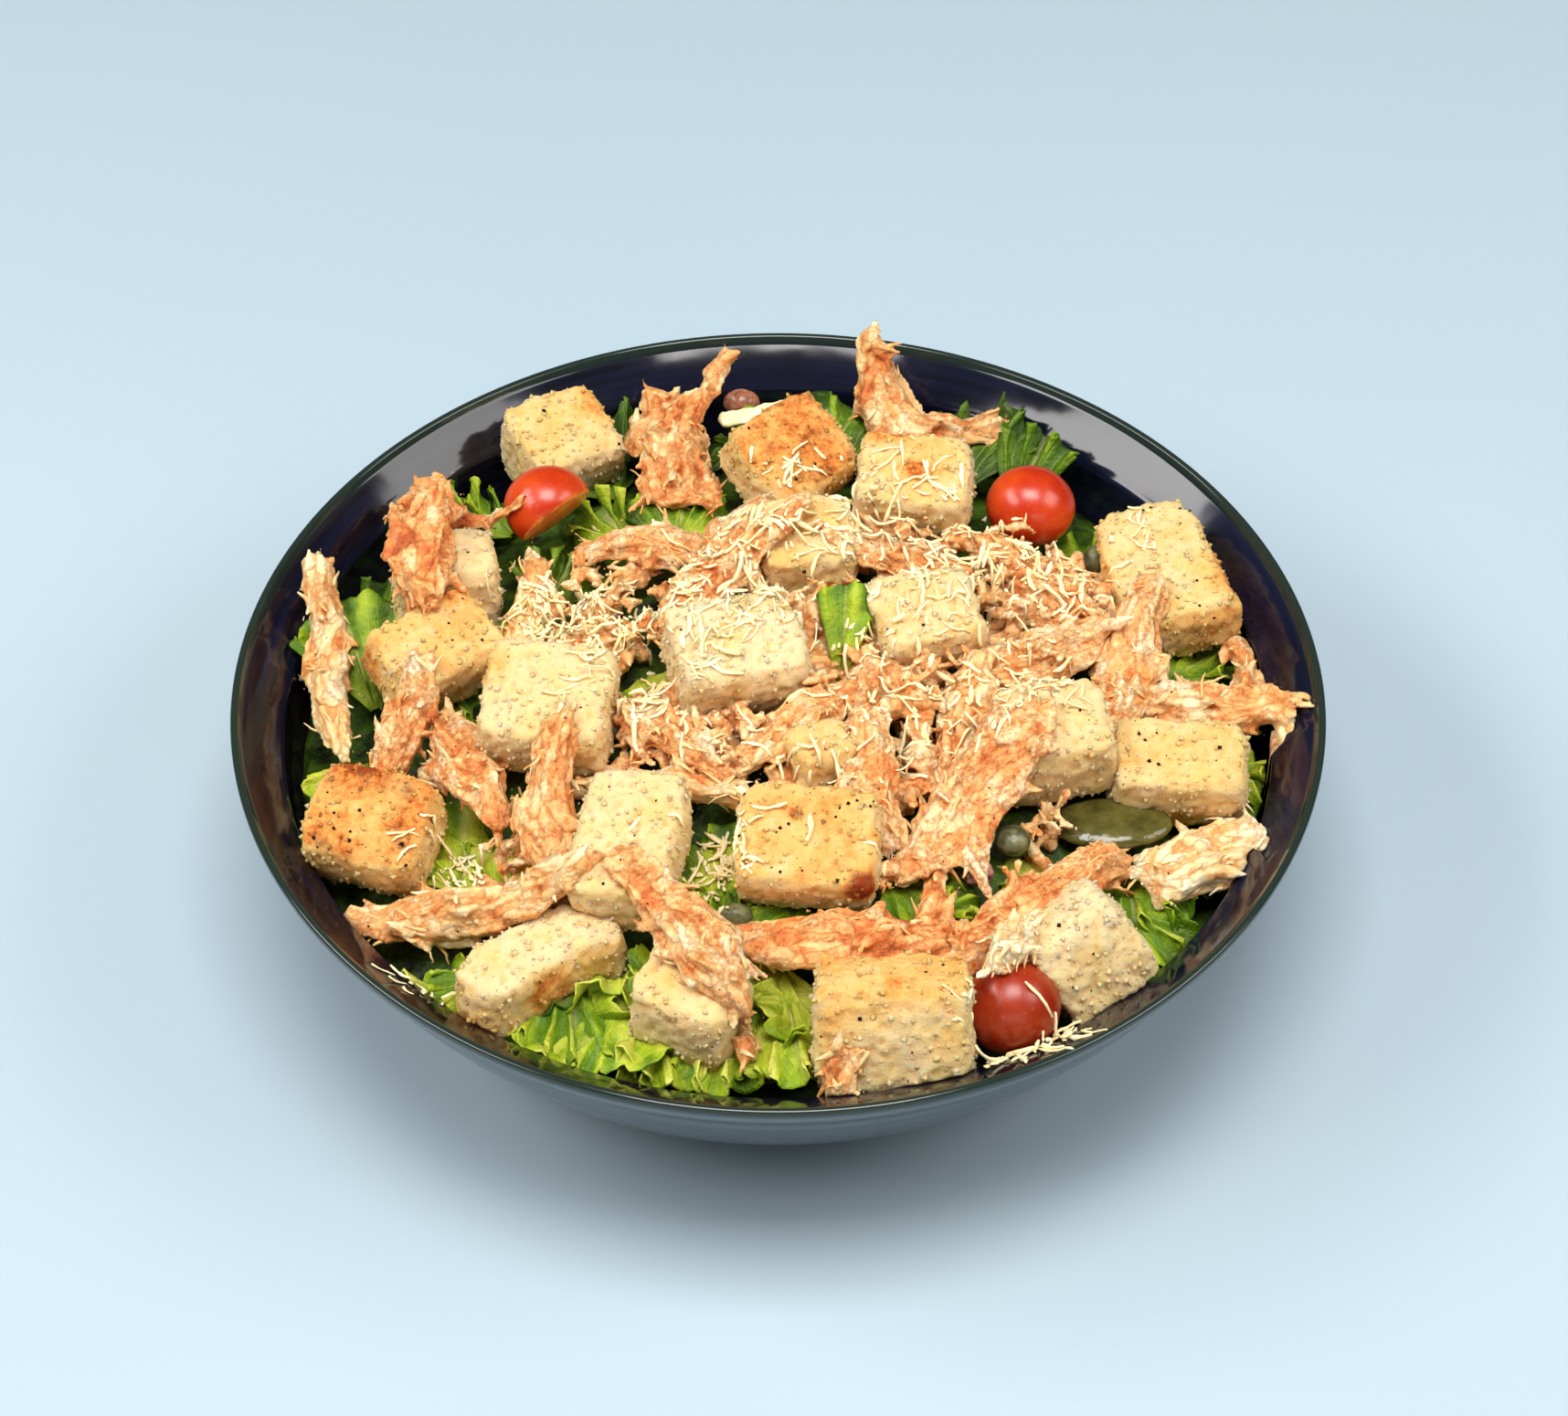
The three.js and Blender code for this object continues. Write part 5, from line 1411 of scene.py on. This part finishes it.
# %% Shreds of cheese
# middle x and y, reach in x and y, height of the heap in millimetres, number of shreds
SPRINKLED = [
    (-47, 18, 18, 15, 4, 300), (-8, 20, 22, 22, 3, 260), (46, 38, 36, 20, 3, 360), (42, -8, 34, 26, 2.5, 250),
    (-30, -12, 18, 12, 3, 120), (-14, -62, 8, 12, 3, 130), (-77, -55, 8, 9, 2, 70), (8, -38, 14, 8, 1.5, 40),
    (58, -109, 16, 6, 2.5, 230), (88, 52, 14, 8, 1, 24), (-84, -92, 8, 5, 1, 20), (14, 60, 26, 10, 1.5, 90),
    (-60, 62, 8, 7, 1, 10), (10, 10, 90, 80, 0.3, 60),
]
SHRED_HEIGHT = 0.26
bare = [np.array(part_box(name))[:, :2] / mm for name in nodes if name.startswith("tomato")]


def on_tomato(x, y):
    """Whether a place lies on a tomato, whose skin stays bare."""
    return any(math.hypot(*((2 * np.array((x, y)) - low - high) / (high - low))) < 1 for low, high in bare)


def shred(x, y, length, heading, bend, lift, random):
    steps = max(3, round(length / 1.6))
    share = np.linspace(-0.5, 0.5, steps + 1)
    angle = heading + bend * share + random.normal(0, 0.13, steps + 1)
    path_x = x + np.cumsum(np.cos(angle)) * length / steps
    path_y = y + np.cumsum(np.sin(angle)) * length / steps
    heights = [landing(px * mm, py * mm) for px, py in zip(path_x, path_y)]
    if None in heights:
        return None
    z = np.array(heights) * 1000 + 0.15
    if z.max() - z.min() > 8:
        return None
    for _ in range(10):
        z[1:-1] = np.maximum(z[1:-1], (z[:-2] + z[2:]) / 2 - 0.1)
    z = z + lift + random.uniform(0, 1.6) * np.clip(share * random.choice((-1, 1)), 0, 1) ** 1.2 * 2
    path = np.stack([path_x, path_y, z], axis=1)
    broad = random.uniform(0.42, 0.95)
    widths = broad * random.uniform(0.5, 1.3, len(path)) * (0.6 + 0.4 * np.sin(np.pi * (share + 0.5)))
    up = np.tile(unit(np.array((0, 0, 1)) + random.normal(0, 0.3, 3)), (len(path), 1))
    return tube(path, up, widths, np.full(len(path), SHRED_HEIGHT), sides=4)


# %% Sprinkle them
random = np.random.default_rng(21)
shreds = Pile()
for *oval, deep, number in SPRINKLED:
    limit = max(122, math.hypot(*oval[:2]) + 3)
    for _ in range(number):
        x, y, spread = place_in(oval, random)
        if on_tomato(x, y) or math.hypot(x, y) > limit:
            continue
        long = random.uniform(2.4, 8.5) if random.random() < 0.6 else random.uniform(0.7, 2.2)
        lift = deep * random.random() ** 2 * (1 - spread**2)
        made = shred(x, y, long, random.uniform(0, 2 * math.pi), random.uniform(-1.1, 1.1), lift, random)
        if made:
            shreds.add(made[0] * mm, made[1])
cheese = Finish("parmesan", Roughness=0.6, Specular_IOR_Level=0.2)
cheese.paint(Subsurface_Weight=0.08, Subsurface_Scale=0.001, Subsurface_Radius=(1.0, 0.8, 0.5))
cheese_tone = mottle(cheese, 0.004, 3, 0.6)
cheese.paint(
    Base_Color=mix(cheese_tone.between(0.35, 0.65), tint(255, 246, 206), tint(254, 232, 166)),
    Normal=bumped(mottle(cheese, 0.0006, 2), 0.0002, 0.5),
)
points, triangles = shreds.joined()
piece("grated_parmesan", points, [triangles], cheese, "parmesan")
print(f"{len(shreds.shells)} shreds, {len(triangles)} triangles")

# %% The large curl
CURL_VOXEL = 0.5 * mm
points, squares = skinned(*solid("parmesan_curl"), CURL_VOXEL)
edges = edges_of(squares)
points = softened(points, edges, 4)
out = facing(points, squares)
push = 0.35 * mm + 0.35 * mm * lumps(points, 3 * mm, 4, 2) + 0.25 * mm * lumps(points, 1.2 * mm, 5)
points = points + out * push[:, None]
piece("large_curl", points, [squares], cheese, "parmesan", ["parmesan_curl"])
print("large curl:", len(squares), "faces")

# %% [markdown]
# ## Table and light
# The bowl stands on a smooth pale blue table, which isn't part of it; the table is painted a
# little darker towards the back as shade. It is lit as food usually is, by broad soft lights: one
# on the left and one on the right, which the glaze mirrors inside the wall, and a strong one high
# above and a little in front, which models the food and throws the short shadow under the rim. A
# weak low panel in front lifts what faces the diner. Area lights are used for all of them, because
# their size sets how soft the shadows and how broad the reflections are, and the dim room round
# them keeps the darkest gaps from going black.

# %% Table
bpy.ops.mesh.primitive_plane_add(size=9)
table = bpy.context.object
table.name = "table"
table_top = Finish("table_top", Roughness=0.6, Specular_IOR_Level=0.25)
wash = mottle(table_top, 0.35, 3, 0.5)
near_tone = mix(wash.between(0.3, 0.7), tint(173, 193, 207), tint(179, 198, 209))
distance = split(table_top, table_top.place)[1]
# painted shade: the table is painted darker towards the back, where the light falls off
table_top.paint(Base_Color=mix(distance.between(0.1, 0.44), near_tone, tint(166, 188, 199)))
table.data.materials.append(table_top.material)


# %% Lights
def lamp(name, place, width, height, power, target=(0, 0, 0.06), colour=(1.0, 0.98, 0.95)):
    """A soft panel of light, in metres and watts, that looks at its target."""
    light = bpy.data.lights.new(name, "AREA")
    light.shape, light.size, light.size_y, light.energy, light.color = "RECTANGLE", width, height, power, colour
    thing = placed(name, light)
    thing.location = place
    thing.rotation_euler = (Vector(target) - Vector(place)).to_track_quat("-Z", "Y").to_euler()


lamp("softbox_left", (-1.23, -0.22, 1.36), 1.4, 0.5, 20.5)
lamp("softbox_right", (1.28, -0.27, 1.32), 1.1, 0.8, 14.5)
lamp("softbox_above", (0, -0.5, 2.5), 1.3, 1.0, 54)
lamp("low_panel_front", (0.1, -1.55, 0.48), 1.6, 0.4, 3.4, target=(0, 0, 0.07), colour=(1.0, 0.97, 0.93))

# %% The dim room
world = bpy.data.worlds.new("room")
bpy.context.scene.world = world
world.use_nodes = True
room = Tree(world.node_tree)
upward = split(room, room.node("ShaderNodeTexCoord", out="Generated"))[2]
brightness = upward.between(0.0, 1.0) * 0.12 + 0.015
room.feed(world.node_tree.nodes["Background"], {"Color": (0.94, 0.97, 1.0, 1.0), "Strength": brightness})
bpy.context.scene.view_settings.view_transform = "Standard"
print("four soft lamps and a dim room")

# %% [markdown]
# ## Camera and the last count
# The camera looks down at 45 degrees from a metre away through a long lens, so that the far rim is
# hardly smaller than the near one. Its small shift puts the bowl a little off the middle.

# %% Camera
camera = placed("camera", bpy.data.cameras.new("camera"))
camera.location = (0, -0.7046, 0.7816)
camera.rotation_euler = (math.radians(44.8), 0, 0)
camera.data.lens = 92.96
camera.data.shift_x, camera.data.shift_y = 0.00373, -0.01457
bpy.context.scene.camera = camera
away = (camera.location - Vector((0, 0, BOWL_HEIGHT * mm))).length
print(f"the camera is {away:.3f} m from the middle of the rim")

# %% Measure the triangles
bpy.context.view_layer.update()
shown = [thing for thing in bpy.context.scene.objects if thing.type == "MESH" and not thing.hide_render]
counts = {thing.name: sum(len(face.vertices) - 2 for face in thing.data.polygons) for thing in shown}
print("triangles in all:", sum(counts.values()), "most in one piece:", max(counts.values()))
